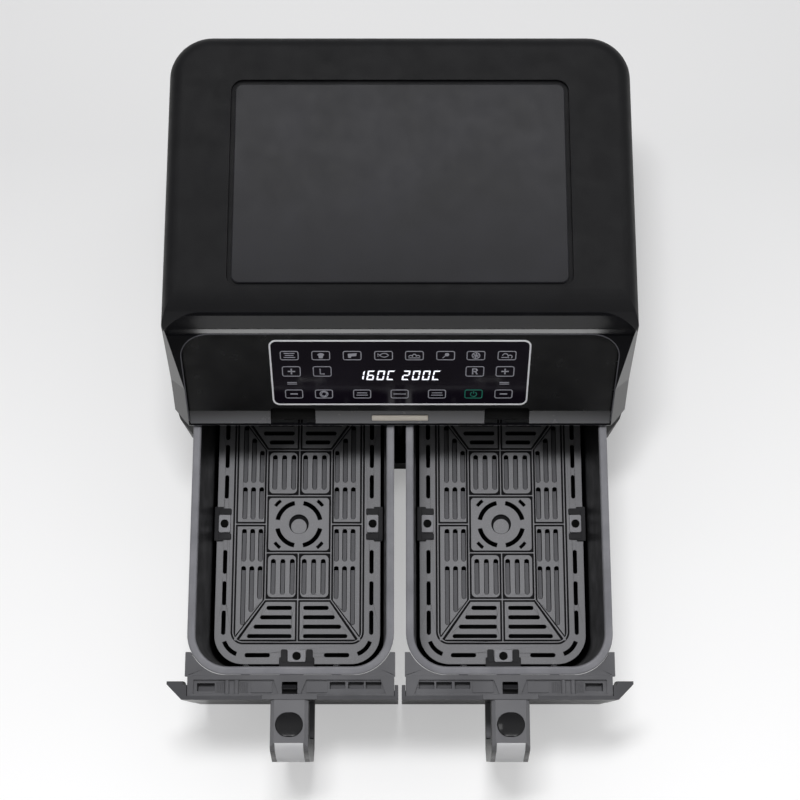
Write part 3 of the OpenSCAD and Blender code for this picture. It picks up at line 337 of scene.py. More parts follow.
finish = {
    # Textured black ABS; the real grain is near 0.3 mm, drawn coarser so that it shows
    "housing": plastic("texturedAbsHousing", "housing_plastic", "#0E0E10", "#131315",
                       (0.50, 0.60), 1.1, 0.05),
    # Satin ABS lid insert
    "lid": plastic("satinAbsLid", "panel_plastic", "#1D1D20", "#222226", (0.30, 0.36), 1.6, 0.012),
    # Polished ABS, the piano-black frame: mirror-like with faint waviness
    "gloss": plastic("polishedAbsSurround", "surround_gloss", "#08080A", "#0C0C0F", (0.06, 0.11),
                     14, 0.02, coat=0.6),
    # Semi-gloss ABS fascia
    "fascia": plastic("semiGlossAbsFascia", "fascia_plastic", "#0F0F10", "#131314", (0.22, 0.28), 5, 0.01),
    # Smoked toughened glass, backed black
    "glass": plastic("smokedGlass", "control_glass", "#130F17", "#17131C", (0.05, 0.08), 30, 0.004, ior=1.52),
    # Brushed stainless steel and satin chrome: near-white and scarcely metallic, with a soft stretched sheen;
    # the pale colour is painted reflection, standing in for the metal's bright highlights
    "trim": metal("brushedStainlessTrim", "bright_trim", "#F4F4F7", "#FBFBFC", (0.28, 0.42), 0.35,
                  0.008, metallic=0.1),
    "bezel": metal("satinChromeBezel", "bright_trim", "#E8E8EC", "#F4F4F6", (0.30, 0.40), 0.35,
                   0.004, metallic=0.15),
    # Polypropylene from a spark-eroded tool: dull, even grey-black
    "base": plastic("mattPolypropyleneBase", "base_plastic", "#151516", "#1B1B1C", (0.50, 0.60), 1.3, 0.06),
    # Nitrile rubber: nearly no sheen
    "rubber": plastic("nitrileRubber", "rubber", "#101010", "#181817", (0.75, 0.85), 2.0, 0.05),
    # Glass-fibre board under solder mask: mottled green
    "board": plastic("fibreglassBoard", "circuit_board", "#0E3F22", "#1D6A3B", (0.25, 0.4),
                     4.0, 0.08, patchMm=6),
    # Aluminised, oxidised and zinc-plated steel: rolled sheet, greys of three warmths
    "sheet": metal("aluminisedSteelLiner", "sheet_steel", "#9C9EA2", "#B7B8BA", (0.30, 0.46), 0.6, 0.01, "Y"),
    "heater": metal("oxidisedHeaterSteel", "heater_steel", "#5B514A", "#776B62",
                    (0.38, 0.52), 0.5, 0.01, "Z"),
    "motor": metal("zincPlatedSteel", "motor_steel", "#8D9096", "#A9ABAF", (0.30, 0.42), 0.5, 0.01, "Z"),
    # Nickel plate: the brightest of the hidden metals
    "screw": metal("nickelPlatedScrew", "screw_steel", "#B4B5B9", "#C6C7CA", (0.20, 0.32), 0.3, 0.006),
    # Nylon, phenolic and acetal mouldings: glass fibres leave the first two cloudy
    "fan": plastic("glassFilledNylonFan", "fan_plastic", "#26262A", "#303034", (0.42, 0.52), 1.2, 0.04),
    "switch": plastic("phenolicSwitch", "switch_plastic", "#18181A", "#202022", (0.38, 0.46), 1.4, 0.03),
    "plunger": plastic("acetalPlunger", "plunger_plastic", "#CFCFCC", "#DADAD6", (0.30, 0.38), 1.2, 0.01),
    # Two-coat PTFE on drawn aluminium
    "basket": nonStick("nonStickBasketCoat", "basket_coating", "#070708", "#19191B",
                       (0.34, 0.46), 1.0, 2.2, 0.03),
    # The rolled rim in a paler grey than the basket's coat, with a metal sheen
    "rim": metal("paleRolledRim", "basket_coating", "#7C7C81", "#8E8E93", (0.34, 0.46), 0.6,
                 0.01, metallic=0.25),
    # Glass-filled nylon: mid grey with a fine bloom
    "frame": plastic("glassFilledNylonFrame", "frame_plastic", "#565659", "#616164", (0.46, 0.56), 1.4, 0.05),
    # ABS drawer fronts and handles: semi-gloss black below, satin grey on top
    "front": plastic("semiGlossAbsFront", "front_plastic", "#141415", "#191919", (0.16, 0.22), 8, 0.012),
    "handle": plastic("satinAbsHandle", "handle_plastic", "#646467", "#6E6E71", (0.36, 0.44), 1.4, 0.03),
    # Polished cap of the release button: one clear highlight
    "button": plastic("polishedAbsButton", "button_plastic", "#141416", "#19191B", (0.16, 0.24),
                      3.0, 0.006, coat=0.8),
    # Hard-drawn wire, cold grey
    "spring": metal("springWire", "spring_steel", "#8E8F92", "#A4A5A8", (0.25, 0.35), 0.4, 0.01, "Z"),
    # Ceramic-filled non-stick on a pressed steel plate
    "plate": nonStick("nonStickPlateCoat", "plate_coating", "#868689", "#ABABAF", (0.36, 0.48), 1.1, 2.4,
                      0.03, metallic=0.15),
    # Painted shade: the plate's coat much darker, for its grooves, slot walls and dish
    "plateRecessShade": nonStick("nonStickPlatePaintedShade", "plate_coating", "#111113", "#262628",
                         (0.5, 0.6), 1.1, 2.4, 0.03),
    "clipBoss": nonStick("nonStickClipBoss", "plate_coating", "#8A8A8E", "#A6A6AA",
                         (0.4, 0.5), 1.1, 2.4, 0.02),
    "handleSide": plastic("polishedAbsHandleSide", "handle_plastic", "#121213", "#171718",
                          (0.20, 0.28), 2.5, 0.01),
    "frontTop": plastic("satinAbsFrontTop", "front_plastic", "#47474A", "#505053", (0.40, 0.50), 1.4, 0.03),
    # Painted shade: the plate's coat darker, for the ramps down in the slots
    "plateRampShade": nonStick("nonStickPlateRampShade", "plate_coating", "#5A5A5D", "#77777B",
                          (0.42, 0.52), 1.1, 2.4, 0.03),
    # Painted highlight: a pale grey bead where the surround's recess edge catches the light
    "rimLine": plastic("polishedAbsBead", "surround_gloss", "#4A4A4E", "#56565B", (0.12, 0.18), 6.0, 0.008),
    # Painted shade: flat black for sills, pans, hole bottoms and cut-out faces that lie in shade
    "shade": plastic("paintedShadeBlack", "fascia_plastic", "#060606", "#0A0A0A", (0.8, 0.9), 1.4, 0.03),
    # Silicone rubber: soft dark grey with a broad sheen
    "silicone": plastic("siliconeRubber", "silicone", "#29292B", "#333335", (0.55, 0.66),
                        1.6, 0.03, ior=1.41),
    # Inks: grey icons, white figures, one green symbol
    "print": printedInk("greyIconPrint", "control_glass", "#8E8E96", 0.25),
    "digits": printedInk("whiteDisplayLight", "control_glass", "#F4F6FF", 1.0),
    "power": printedInk("greenPowerLight", "control_glass", "#136353", 0.4),
    # Satin metal, a little warm
    "badge": metal("satinBadgeMetal", "bright_trim", "#A39E96", "#B3ADA4", (0.34, 0.44), 0.4, 0.006),
}


def splitPlace(tree):
    # A point's place on the piece as x, y and z
    spot = addNode(tree, "ShaderNodeTexCoord").outputs["Object"]
    return addNode(tree, "ShaderNodeSeparateXYZ", None, {"Vector": spot})


def fadedTone(material, axis, start, end, colour):
    # Base colour turns to another one along one axis, from start to end in mm
    tree = material.node_tree
    share = addNode(tree, "ShaderNodeMapRange", {"From Min": start * mm, "From Max": end * mm},
                    {"Value": splitPlace(tree).outputs[axis]})
    turnedTo(tree, tree.nodes["Principled BSDF"], share.outputs["Result"], colour)


def grainedCorners(material, halfWidth, low, rx, rz, rough, colour):
    # Outside a rounded corner in x and z the polished part carries the housing's grain
    tree = material.node_tree
    shader = tree.nodes["Principled BSDF"]
    split = splitPlace(tree)
    side = addNode(tree, "ShaderNodeMath", {"operation": "ABSOLUTE"}, {0: split.outputs["X"]})
    across = addNode(tree, "ShaderNodeMapRange",
                     {"From Min": (halfWidth - rx) * mm, "From Max": halfWidth * mm},
                     {"Value": side.outputs[0]})
    up = addNode(tree, "ShaderNodeMapRange", {"From Min": low * mm, "From Max": (low + rz) * mm},
                 {"Value": split.outputs["Z"]})
    both = addNode(tree, "ShaderNodeCombineXYZ", None,
                   {"X": across.outputs["Result"], "Y": up.outputs["Result"]})
    reach = addNode(tree, "ShaderNodeVectorMath", {"operation": "LENGTH"}, {0: both.outputs[0]})
    share = addNode(tree, "ShaderNodeMapRange", {"From Min": 0.98, "From Max": 1.02},
                    {"Value": reach.outputs["Value"]}).outputs["Result"]
    old = shader.inputs["Roughness"].links[0].from_socket
    spread = addNode(tree, "ShaderNodeMapRange", {"To Max": rough}, {"Value": share, "To Min": old})
    tree.links.new(spread.outputs["Result"], shader.inputs["Roughness"])
    coats = {"To Min": shader.inputs["Coat Weight"].default_value, "To Max": 0.0}
    coat = addNode(tree, "ShaderNodeMapRange", coats, {"Value": share})
    tree.links.new(coat.outputs["Result"], shader.inputs["Coat Weight"])
    turnedTo(tree, shader, share, colour)


# The fascia pales towards its lower edge: painted highlight where the sloped lip catches the light; the
# surround's upper corners are grained, both in mm
fasciaLipHighlight = {"axis": "Z", "start": 168.5, "end": 159.5, "colour": "#525255"}
surroundGrain = {"halfWidth": 192.5, "low": 241.5, "rx": 32, "rz": 15.5, "rough": 0.55, "colour": "#161618"}
fadedTone(finish["fascia"], **fasciaLipHighlight)
grainedCorners(finish["gloss"], **surroundGrain)
print("finishes ready:", len(finish))


# CAD nodes: a material, and a finished copy where the edges show

bodyOf = {n: b for b, names in frame["record"]["behaviour"]["bodies"].items() for n in names}


def camel(name):
    head, *rest = name.split("_")
    return head + "".join(word.capitalize() for word in rest)


def place(piece, body, slotName, standsFor=()):
    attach(piece, body)
    if standsFor:
        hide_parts(*standsFor)


def bakedMesh(piece):
    # The evaluated shape as a plain mesh
    shot = bpy.context.evaluated_depsgraph_get()
    shot.update()
    shape = piece.evaluated_get(shot)
    return bpy.data.meshes.new_from_object(shape, preserve_all_data_layers=True, depsgraph=shot)


def settle(piece):
    plain = bakedMesh(piece)
    piece.modifiers.clear()
    piece.data = plain


def coverWith(mesh, material):
    mesh.materials.clear()
    mesh.materials.append(material)


def finishShading(piece, degrees):
    # Smooth over the eased edges while the broad faces keep their own flat normals
    piece.data.polygons.foreach_set("use_smooth", [True] * len(piece.data.polygons))
    piece.data.set_sharp_from_angle(angle=math.radians(degrees))
    piece.data.update()
    even = piece.modifiers.new("evenShading", "WEIGHTED_NORMAL")
    even.mode, even.weight, even.keep_sharp = "FACE_AREA", 50, True
    settle(piece)


def finishPiece(piece, body, slotName, crease=40):
    finishShading(piece, crease)
    place(piece, body, slotName)


def dress(nodeName, material, edgeMm, segments=2, degrees=30, merged=True, crease=32,
          second=None, isSecond=None):
    # A welded copy of the node with its moulded edges eased
    source = frame["nodes"][nodeName].data
    mesh = bpy.data.meshes.new(camel(nodeName))
    mesh.from_pydata([v.co[:] for v in source.vertices], [], [p.vertices[:] for p in source.polygons])
    work = bmesh.new()
    work.from_mesh(mesh)
    bmesh.ops.remove_doubles(work, verts=work.verts, dist=0.002 * mm)
    if merged:
        bmesh.ops.dissolve_limit(work, angle_limit=math.radians(0.5), verts=work.verts, edges=work.edges)
    work.to_mesh(mesh)
    work.free()
    piece = newObject(camel(nodeName), mesh)
    if edgeMm:
        ease = piece.modifiers.new("easedEdges", "BEVEL")
        ease.width, ease.segments = edgeMm * mm, segments
        ease.limit_method, ease.angle_limit = "ANGLE", math.radians(degrees)
        ease.miter_outer = "MITER_ARC"
        ease.use_clamp_overlap = merged
        settle(piece)
    coverWith(piece.data, material)
    if second:
        # A darker or plainer finish on the faces picked by place and direction
        piece.data.materials.append(second)
        for face in piece.data.polygons:
            face.material_index = 1 if isSecond(face.center / mm, face.normal) else 0
    finishShading(piece, crease)
    place(piece, bodyOf[nodeName], material["slotName"], (nodeName,))


def finishNode(nodeName, key, edgeMm, merged=True):
    if edgeMm:
        dress(nodeName, finish[key], edgeMm, merged=merged)
    else:
        coverWith(frame["nodes"][nodeName].data, finish[key])


# node: (finish, eased edge in mm or None to keep the CAD solid itself)
nodeFinishes = {
    "base_tray": ("base", 0.5), "rubber_feet": ("rubber", 0.6), "housing_shell": ("housing", 0.35),
    "top_panel": ("lid", 0.35), "control_glass": ("glass", 0.15), "glass_bezel": ("bezel", 0.15),
    "display_board": ("board", None), "power_board": ("board", None), "rear_cover": ("base", 0.3),
    "cord_gland": ("rubber", 0.4),
    "temperature_probes": ("screw", None),
}
sideFinishes = {
    "chamber_liner": ("sheet", 0.3), "heating_coil": ("heater", None), "coil_guard": ("screw", None),
    "fan_motor": ("motor", 0.4), "motor_shaft": ("screw", None), "hot_fan": ("sheet", None),
    "cooling_fan": ("fan", None), "drawer_switch": ("switch", 0.3), "switch_plunger": ("plunger", None),
    "drawer_frame": ("frame", 0.35), "handle_trim": ("trim", 0.25), "basket_screws": ("screw", None),
    "release_button": ("button", 0.5), "latch_slider": ("switch", 0.3), "button_spring": ("spring", None),
}
# Faces full of windows stay in triangles, as one face would span the holes
pierced = ("drawer_frame", "chamber_liner", "coil_guard")
# Where a node takes its second finish: how far up a face looks, and where it lies in mm
seconds = {
    "handleUp": 0.6, "frontUp": 0.8, "frontZ": 150,
    "shadeY": -16.4, "shadeZ": 160.7, "plateUp": 0.85, "plateZ": 70.5,
}
for name, (key, edge) in nodeFinishes.items():
    finishNode(name, key, edge)
for side in sides:
    for name, (key, edge) in sideFinishes.items():
        finishNode(f"{name}_{side}", key, edge, name not in pierced)
    dress(f"handle_{side}", finish["handle"], 0.7, 3, second=finish["handleSide"],
          isSecond=lambda c, n: n.z < seconds["handleUp"])
    dress(f"drawer_front_{side}", finish["front"], 0.5, second=finish["frontTop"],
          isSecond=lambda c, n: n.z > seconds["frontUp"] and c.z > seconds["frontZ"])
dress("front_surround", finish["gloss"], 0.5, 3)
# The thumb cut-outs' inner faces take flat black: painted shade
dress("fascia", finish["fascia"], 0.4, crease=9, second=finish["shade"],
      isSecond=lambda c, n: c.y > seconds["shadeY"] and c.z < seconds["shadeZ"])
print("CAD nodes dressed")


# Shapes made here

def newPiece(name, vertices, faces, material, faceMaterials=None, extra=()):
    mesh = bpy.data.meshes.new(name)
    mesh.from_pydata([[c * mm for c in v] for v in vertices], [], faces)
    for m in (material, *extra):
        mesh.materials.append(m)
    if faceMaterials:
        mesh.polygons.foreach_set("material_index", faceMaterials)
    work = bmesh.new()
    work.from_mesh(mesh)
    bmesh.ops.recalc_face_normals(work, faces=work.faces)
    work.to_mesh(mesh)
    work.free()
    return newObject(name, mesh)


def roundedRing(width, length, radius, steps):
    # Rounded rectangle about the origin, anticlockwise, in mm
    ring = []
    for k, (sx, sy) in enumerate(((1, -1), (1, 1), (-1, 1), (-1, -1))):
        for i in range(steps + 1):
            a = math.radians(-90 + 90 * k + 90 * i / steps)
            ring.append((sx * (width / 2 - radius) + radius * math.cos(a),
                         sy * (length / 2 - radius) + radius * math.sin(a)))
    return ring


def lofted(name, rings, material, rimRows=(), rimMaterial=None):
    # Skin over rings of equal length, closed at both ends; each ring is a list of points in mm
    n = len(rings[0])
    vertices = [p for ring in rings for p in ring]
    faces, kinds = [], []
    for j in range(len(rings) - 1):
        for i in range(n):
            k = (i + 1) % n
            faces.append((j * n + i, j * n + k, (j + 1) * n + k, (j + 1) * n + i))
            kinds.append(1 if j in rimRows else 0)
    faces += [tuple(range(n)), tuple(range((len(rings) - 1) * n, len(rings) * n))]
    kinds += [0, 0]
    return newPiece(name, vertices, faces, material, kinds, (rimMaterial,) if rimMaterial else ())


def padRings(x, y, width, length, radius, steps, levels):
    # Rounded outlines about (x, y), drawn in by an inset at each height
    return [[(x + a, y + b, z) for a, b in roundedRing(width - 2 * inset, length - 2 * inset, radius, steps)]
            for inset, z in levels]


def joined(name, parts):
    # Several pieces as one mesh, each keeping its own materials
    work, kept = bmesh.new(), []
    for part in parts:
        first = len(work.faces)
        work.from_mesh(part.data)
        work.faces.ensure_lookup_table()
        kept += [m for m in part.data.materials if m not in kept]
        for face in work.faces[first:]:
            face.material_index = kept.index(part.data.materials[face.material_index])
    mesh = bpy.data.meshes.new(name)
    work.to_mesh(mesh)
    work.free()
    for material in kept:
        mesh.materials.append(material)
    for part in parts:
        bpy.data.objects.remove(part)
    return newObject(name, mesh)


basketSizes = {
    "x": drawerSizes["x"], "y": drawerSizes["basketY"], "width": 172, "length": 275, "corner": 34,
    "rimZ": 154, "lowZ": 39, "flange": 5.5, "wall": 1.2, "draft": 4, "floorRadius": 12,
    # The rolled rim as (in from a wall, down from the top): inner face, outer roll, underside
    "rimInner": ((0.15, 1.5), (0.5, 0.7), (1.2, 0.2), (2.2, 0)),
    "rimOuter": ((1.8, 0), (0.9, 0.2), (0.25, 0.6), (0.0, 1.0), (0.15, 1.45), (0.6, 1.58)),
    "rimUnder": ((0.8, 1.58), (0.15, 2.0)),
}


def makeBasket(side, s):
    depth = s["rimZ"] - s["lowZ"]

    def wallRows(inset, floorZ, up):
        # Wall and rounded foot of one face of the sheet, from the floor up or from the rim down
        found = []
        for k in range(9):
            a = math.radians(90 * k / 8)
            found.append((inset + s["draft"] + s["floorRadius"] * (1 - math.sin(a)),
                          floorZ + s["floorRadius"] * (1 - math.cos(a))))
        for k in range(1, 6):
            z = floorZ + s["floorRadius"] + (s["rimZ"] - 3 - floorZ - s["floorRadius"]) * k / 5
            found.append((inset + s["draft"] * (s["rimZ"] - z) / depth, z))
        return found if up else found[::-1]

    inner = s["flange"] + s["wall"]
    rows = wallRows(inner, s["lowZ"] + s["wall"], True)
    first = len(rows) - 1
    top = s["rimZ"]
    rows += [(inner - a, top - b) for a, b in s["rimInner"]]
    rows += [(a, top - b) for a, b in s["rimOuter"]]
    last = len(rows) - 3
    rows += [(s["flange"] - a, top - b) for a, b in s["rimUnder"]]
    rows += wallRows(s["flange"], s["lowZ"], False)
    rings = []
    for inset, z in rows:
        radius = max(s["corner"] - inset, 6)
        rings.append([(sides[side] * s["x"] + x, s["y"] + y, z) for x, y in
                      roundedRing(s["width"] - 2 * inset, s["length"] - 2 * inset, radius, 12)])
    piece = lofted(camel(f"basket_{side}"), rings, finish["basket"], range(first, last), finish["rim"])
    finishShading(piece, 50)
    place(piece, f"drawer_{side}", "basket_coating", (f"basket_{side}",))


clipSizes = {
    "x": drawerSizes["x"], "y": drawerSizes["basketY"], "plateZ": 70.9,
    # turn in degrees and reach in mm of each boss from the plate's middle
    "spots": ((0, 117.4), (180, 117.4), (90, 66.4), (270, 66.4)),
    "boss": 16, "depth": 10.5, "hole": 7.5, "rise": 3.6, "bar": 5.6, "gap": 0.4,
}


def makeClipBoss(side, s):
    # Square boss with a round hole on every bumper, between two soft bars; a flat black disc inside each hole
    # is painted shade
    bosses, bottoms, bars = [], [], []
    outline = roundedRing(s["boss"], s["depth"], 1.6, 11)
    low, high = s["plateZ"] - 0.4, s["plateZ"] + s["rise"]
    r = s["hole"] / 2
    around = [math.atan2(y, x) for x, y in outline]
    even = [math.tau * k / 24 for k in range(24)]
    for turn, reach in s["spots"]:
        c, d = math.cos(math.radians(turn)), math.sin(math.radians(turn))
        centre = -reach

        def put(points):
            return [(sides[side] * s["x"] + x * c - y * d, s["y"] + x * d + y * c, z) for x, y, z in points]

        def ring(inset, z):
            grow = 1 - inset * 2 / s["boss"]
            return put([(x * grow, centre + y * grow, z) for x, y in outline])

        def hole(radius, z, turns=around):
            return put([(radius * math.cos(a), centre + radius * math.sin(a), z) for a in turns])

        bosses.append([ring(0, low), ring(0, high - 0.6), ring(0.25, high - 0.15), ring(0.6, high),
                       hole(r + 0.5, high), hole(r + 0.1, high - 0.3), hole(r, high - 0.8),
                       hole(r, low + 1.5), hole(r * 0.96, low + 1.2)])
        bottoms.append([hole(r * 0.99, s["plateZ"] + z, even) for z in (0.9, s["rise"] + 0.05)])
        for e in (-1, 1):
            at = e * (s["boss"] / 2 + s["gap"] + s["bar"] / 2)
            shape = roundedRing(s["bar"], s["depth"] + 1.2, 1.2, 4)
            bars.append([put([(at + x * g, centre + y * g, z) for x, y in shape])
                         for g, z in ((1, low), (1, high - 1.6), (0.93, high - 1.1), (0.8, high - 0.9))])
    bossParts = [lofted("clipBoss", rings, finish["clipBoss"]) for rings in bosses]
    bossParts += [lofted("clipHole", rings, finish["shade"]) for rings in bottoms]
    barParts = [lofted("clipBar", rings, finish["silicone"]) for rings in bars]
    jobs = (("clipBoss", bossParts, "plate_coating"), ("clipBar", barParts, "silicone"))
    for name, parts, slotName in jobs:
        piece = joined(camel(f"{name}_{side}"), parts)
        finishPiece(piece, f"plate_{side}", slotName)


rampSizes = {
    "x": drawerSizes["x"], "y": drawerSizes["basketY"], "top": 70.3, "low": 67.8, "lead": 3.4, "width": 3.3,
    # three slots a row in one quarter: first x, pitch, near end, far end, growth of the far end
    "rows": ((5.3, 8.5, 31.5, 63.1, 0), (34, 7.4, 4.5, 33.5, 0), (34, 7.4, 38.0, 67, 11.5)),
    "dish": 7.1, "dishBack": -2.1, "dishLow": 68.6, "dishHigh": 70.2, "dishTilt": 0.7,
    # its rings as (share of the radius, rise)
    "dishRings": ((0.99, -0.3), (0.95, -0.05), (0.88, 0), (0.5, 0.1), (0.2, 0.12)),
}


def makeSlotRamps(side, s):
    # Ramps that guide fat down to an opening at each slot's rear end, in a darker copy of the plate's coat:
    # painted shade down in the slots
    ramps = []
    half = s["width"] / 2
    slots = [(x + pitch * k, near, far + growth * k) for x, pitch, near, far,
             growth in s["rows"] for k in range(3)]
    for x, near, far in slots:
        for sx in (-1, 1):
            for y0, y1 in ((near, far), (-far, -near)):
                rings = []
                lip = y1 - s["lead"]
                for y, z in ((y0 + 0.3, s["top"]), (lip, s["low"] + 0.7), (lip + 0.3, s["low"])):
                    corners = ((-half, z), (half, z), (half, s["low"] - 0.2), (-half, s["low"] - 0.2))
                    rings.append([(sides[side] * s["x"] + sx * x + e, s["y"] + y, h) for e, h in corners])
                ramps.append(lofted("slotRamp", rings, finish["plateRampShade"]))
    piece = joined(camel(f"slot_ramps_{side}"), ramps)
    finishPiece(piece, f"plate_{side}", "plate_coating")


def makeDishDisc(side, s):
    # Plain disc in the plate's dish, its face tilted
    x0, y0 = sides[side] * s["x"], s["y"] + s["dishBack"]
    levels = [(1.0, s["dishLow"], 0)] + [(r, s["dishHigh"] + up, s["dishTilt"]) for r, up in s["dishRings"]]
    rings = []
    for r, z, tilt in levels:
        ring = []
        for k in range(48):
            x, y = r * math.cos(math.tau * k / 48), r * math.sin(math.tau * k / 48)
            ring.append((x0 + s["dish"] * x, y0 + s["dish"] * y, z - tilt * (0.5 + 0.5 * y)))
        rings.append(ring)
    disc = lofted(camel(f"dish_disc_{side}"), rings, finish["plate"])
    finishPiece(disc, f"plate_{side}", "plate_coating")


rootSizes = {
    "x": drawerSizes["x"], "frontY": drawerSizes["frontY"],
    "width": 46, "depth": 4.4, "low": 154.6, "high": 155.6,
    "wellWidth": 20, "wellDepth": 22, "wellZ": 132.4,
}


def makeHandleRoot(side, s):
    # Raised pad of the front's top edge where the handle joins it
    x0, high = sides[side] * s["x"], s["high"]
    rings = padRings(x0, s["frontY"] + s["depth"] / 2 + 0.15, s["width"], s["depth"], 0.8, 4,
                     ((0, s["low"]), (0, high - 0.4), (0.2, high - 0.1), (0.6, high)))
    pad = lofted("rootPad", rings, finish["frame"])
    # Black pan under the latch window: painted shade in the latch well
    rings = padRings(x0, s["frontY"] + 1.2 + s["wellDepth"] / 2, s["wellWidth"], s["wellDepth"], 1.0, 3,
                     ((0, s["wellZ"]), (0, s["wellZ"] + 1.0)))
    pan = lofted("latchPan", rings, finish["shade"])
    piece = joined(camel(f"handle_root_{side}"), [pad, pan])
    finishPiece(piece, f"drawer_{side}", "front_plastic")


for side in sides:
    makeBasket(side, basketSizes)
    # Faces not facing up, and all faces below the pad tops, take the dark copy of the coat: painted shade in
    # grooves, slots and the dish
    dress(f"crisper_plate_{side}", finish["plate"], 0.22, 1, 40, merged=False, second=finish["plateRecessShade"],
          isSecond=lambda c, n: n.z < seconds["plateUp"] or c.z < seconds["plateZ"])
    dress(f"plate_bumpers_{side}", finish["silicone"], 0.8, 3)
    makeClipBoss(side, clipSizes)
    makeSlotRamps(side, rampSizes)
    makeDishDisc(side, rampSizes)
    makeHandleRoot(side, rootSizes)
print("baskets and plates ready")


# Touch panel

panelSizes = {
    "lean": math.degrees(math.atan2(55.9, 83.8)),        # off upright, from the slope's run and rise in mm
    "y": -17.5, "z": 158, "middle": 55.25, "surface": 0.1, "film": 0.05, "stroke": 0.8, "bold": 1.25,
}


def onFascia(u, v, out, s=panelSizes):
    # u across, v up the slope from its lower edge, out from its face, all mm
    c, d = math.cos(math.radians(s["lean"])), math.sin(math.radians(s["lean"]))
    return (u, s["y"] + v * d - out * c, s["z"] + v * c + out * d)


def laidOnFascia(piece, up, out):
    # A piece drawn flat in mm goes on to the slope
    for v in piece.data.vertices:
        x, y, z = v.co / mm
        v.co = Vector(onFascia(x, up + y, out + z)) * mm


def newTree(name, kinds):
    # A node group that takes geometry and the named inputs; sockets gives their identifiers
    tree = bpy.data.node_groups.new(name, "GeometryNodeTree")
    face = tree.interface
    face.new_socket("Geometry", in_out="INPUT", socket_type="NodeSocketGeometry")
    sockets = {}
    for key, kind in kinds.items():
        sockets[key] = face.new_socket(key, in_out="INPUT", socket_type=f"NodeSocket{kind}").identifier
    face.new_socket("Geometry", in_out="OUTPUT", socket_type="NodeSocketGeometry")
    return tree, sockets, addNode(tree, "NodeGroupInput").outputs


def flatStrokeTree():
    # Curves swept with a flat rectangular section, as printed lines
    tree, sockets, given = newTree("flatStrokes", {"Width": "Float", "Thickness": "Float", "Ink": "Material"})
    section = addNode(tree, "GeometryNodeCurvePrimitiveQuadrilateral", None,
                      {"Width": given["Width"], "Height": given["Thickness"]})
    upright = addNode(tree, "GeometryNodeSetCurveNormal", {"mode": "Z_UP"}, {"Curve": given["Geometry"]})
    swept = addNode(tree, "GeometryNodeCurveToMesh", {"Fill Caps": True},
                    {"Curve": upright.outputs["Curve"], "Profile Curve": section.outputs["Curve"]})
    solid = addNode(tree, "GeometryNodeRealizeInstances", None, {"Geometry": swept.outputs["Mesh"]})
    inked = addNode(tree, "GeometryNodeSetMaterial", None,
                    {"Geometry": solid.outputs["Geometry"], "Material": given["Ink"]})
    addNode(tree, "NodeGroupOutput", None, {"Geometry": inked.outputs["Geometry"]})
    return tree, sockets


strokeNodes, strokeSockets = flatStrokeTree()


def sweptStrokes(name, lines, width, thickness, ink):
    # lines: (points in mm, closed)
    curve = bpy.data.curves.new(name, "CURVE")
    curve.dimensions = "3D"
    for points, closed in lines:
        spline = curve.splines.new("POLY")
        spline.points.add(len(points) - 1)
        for point, (x, y) in zip(spline.points, points):
            point.co = (x * mm, y * mm, 0, 1)
        spline.use_cyclic_u = closed
    drawn = newObject(name, curve)
    sweep = drawn.modifiers.new("strokes", "NODES")
    sweep.node_group = strokeNodes
    for key, value in (("Width", width * mm), ("Thickness", thickness * mm), ("Ink", ink)):
        sweep[strokeSockets[key]] = value
    mesh = bakedMesh(drawn)
    bpy.data.objects.remove(drawn)
    return newObject(name, mesh)


def box2d(u, v, w, h, r=1.6):
    return [(u + x, v + y) for x, y in roundedRing(w, h, r, 4)], True


def bar2d(u, v, w):
    return [(u - w / 2, v), (u + w / 2, v)], False


def arc2d(u, v, r, start, end, squeeze=1.0, steps=14):
    turns = [math.radians(start + (end - start) * k / steps) for k in range(steps + 1)]
    return [(u + r * math.cos(a), v + r * squeeze * math.sin(a)) for a in turns]


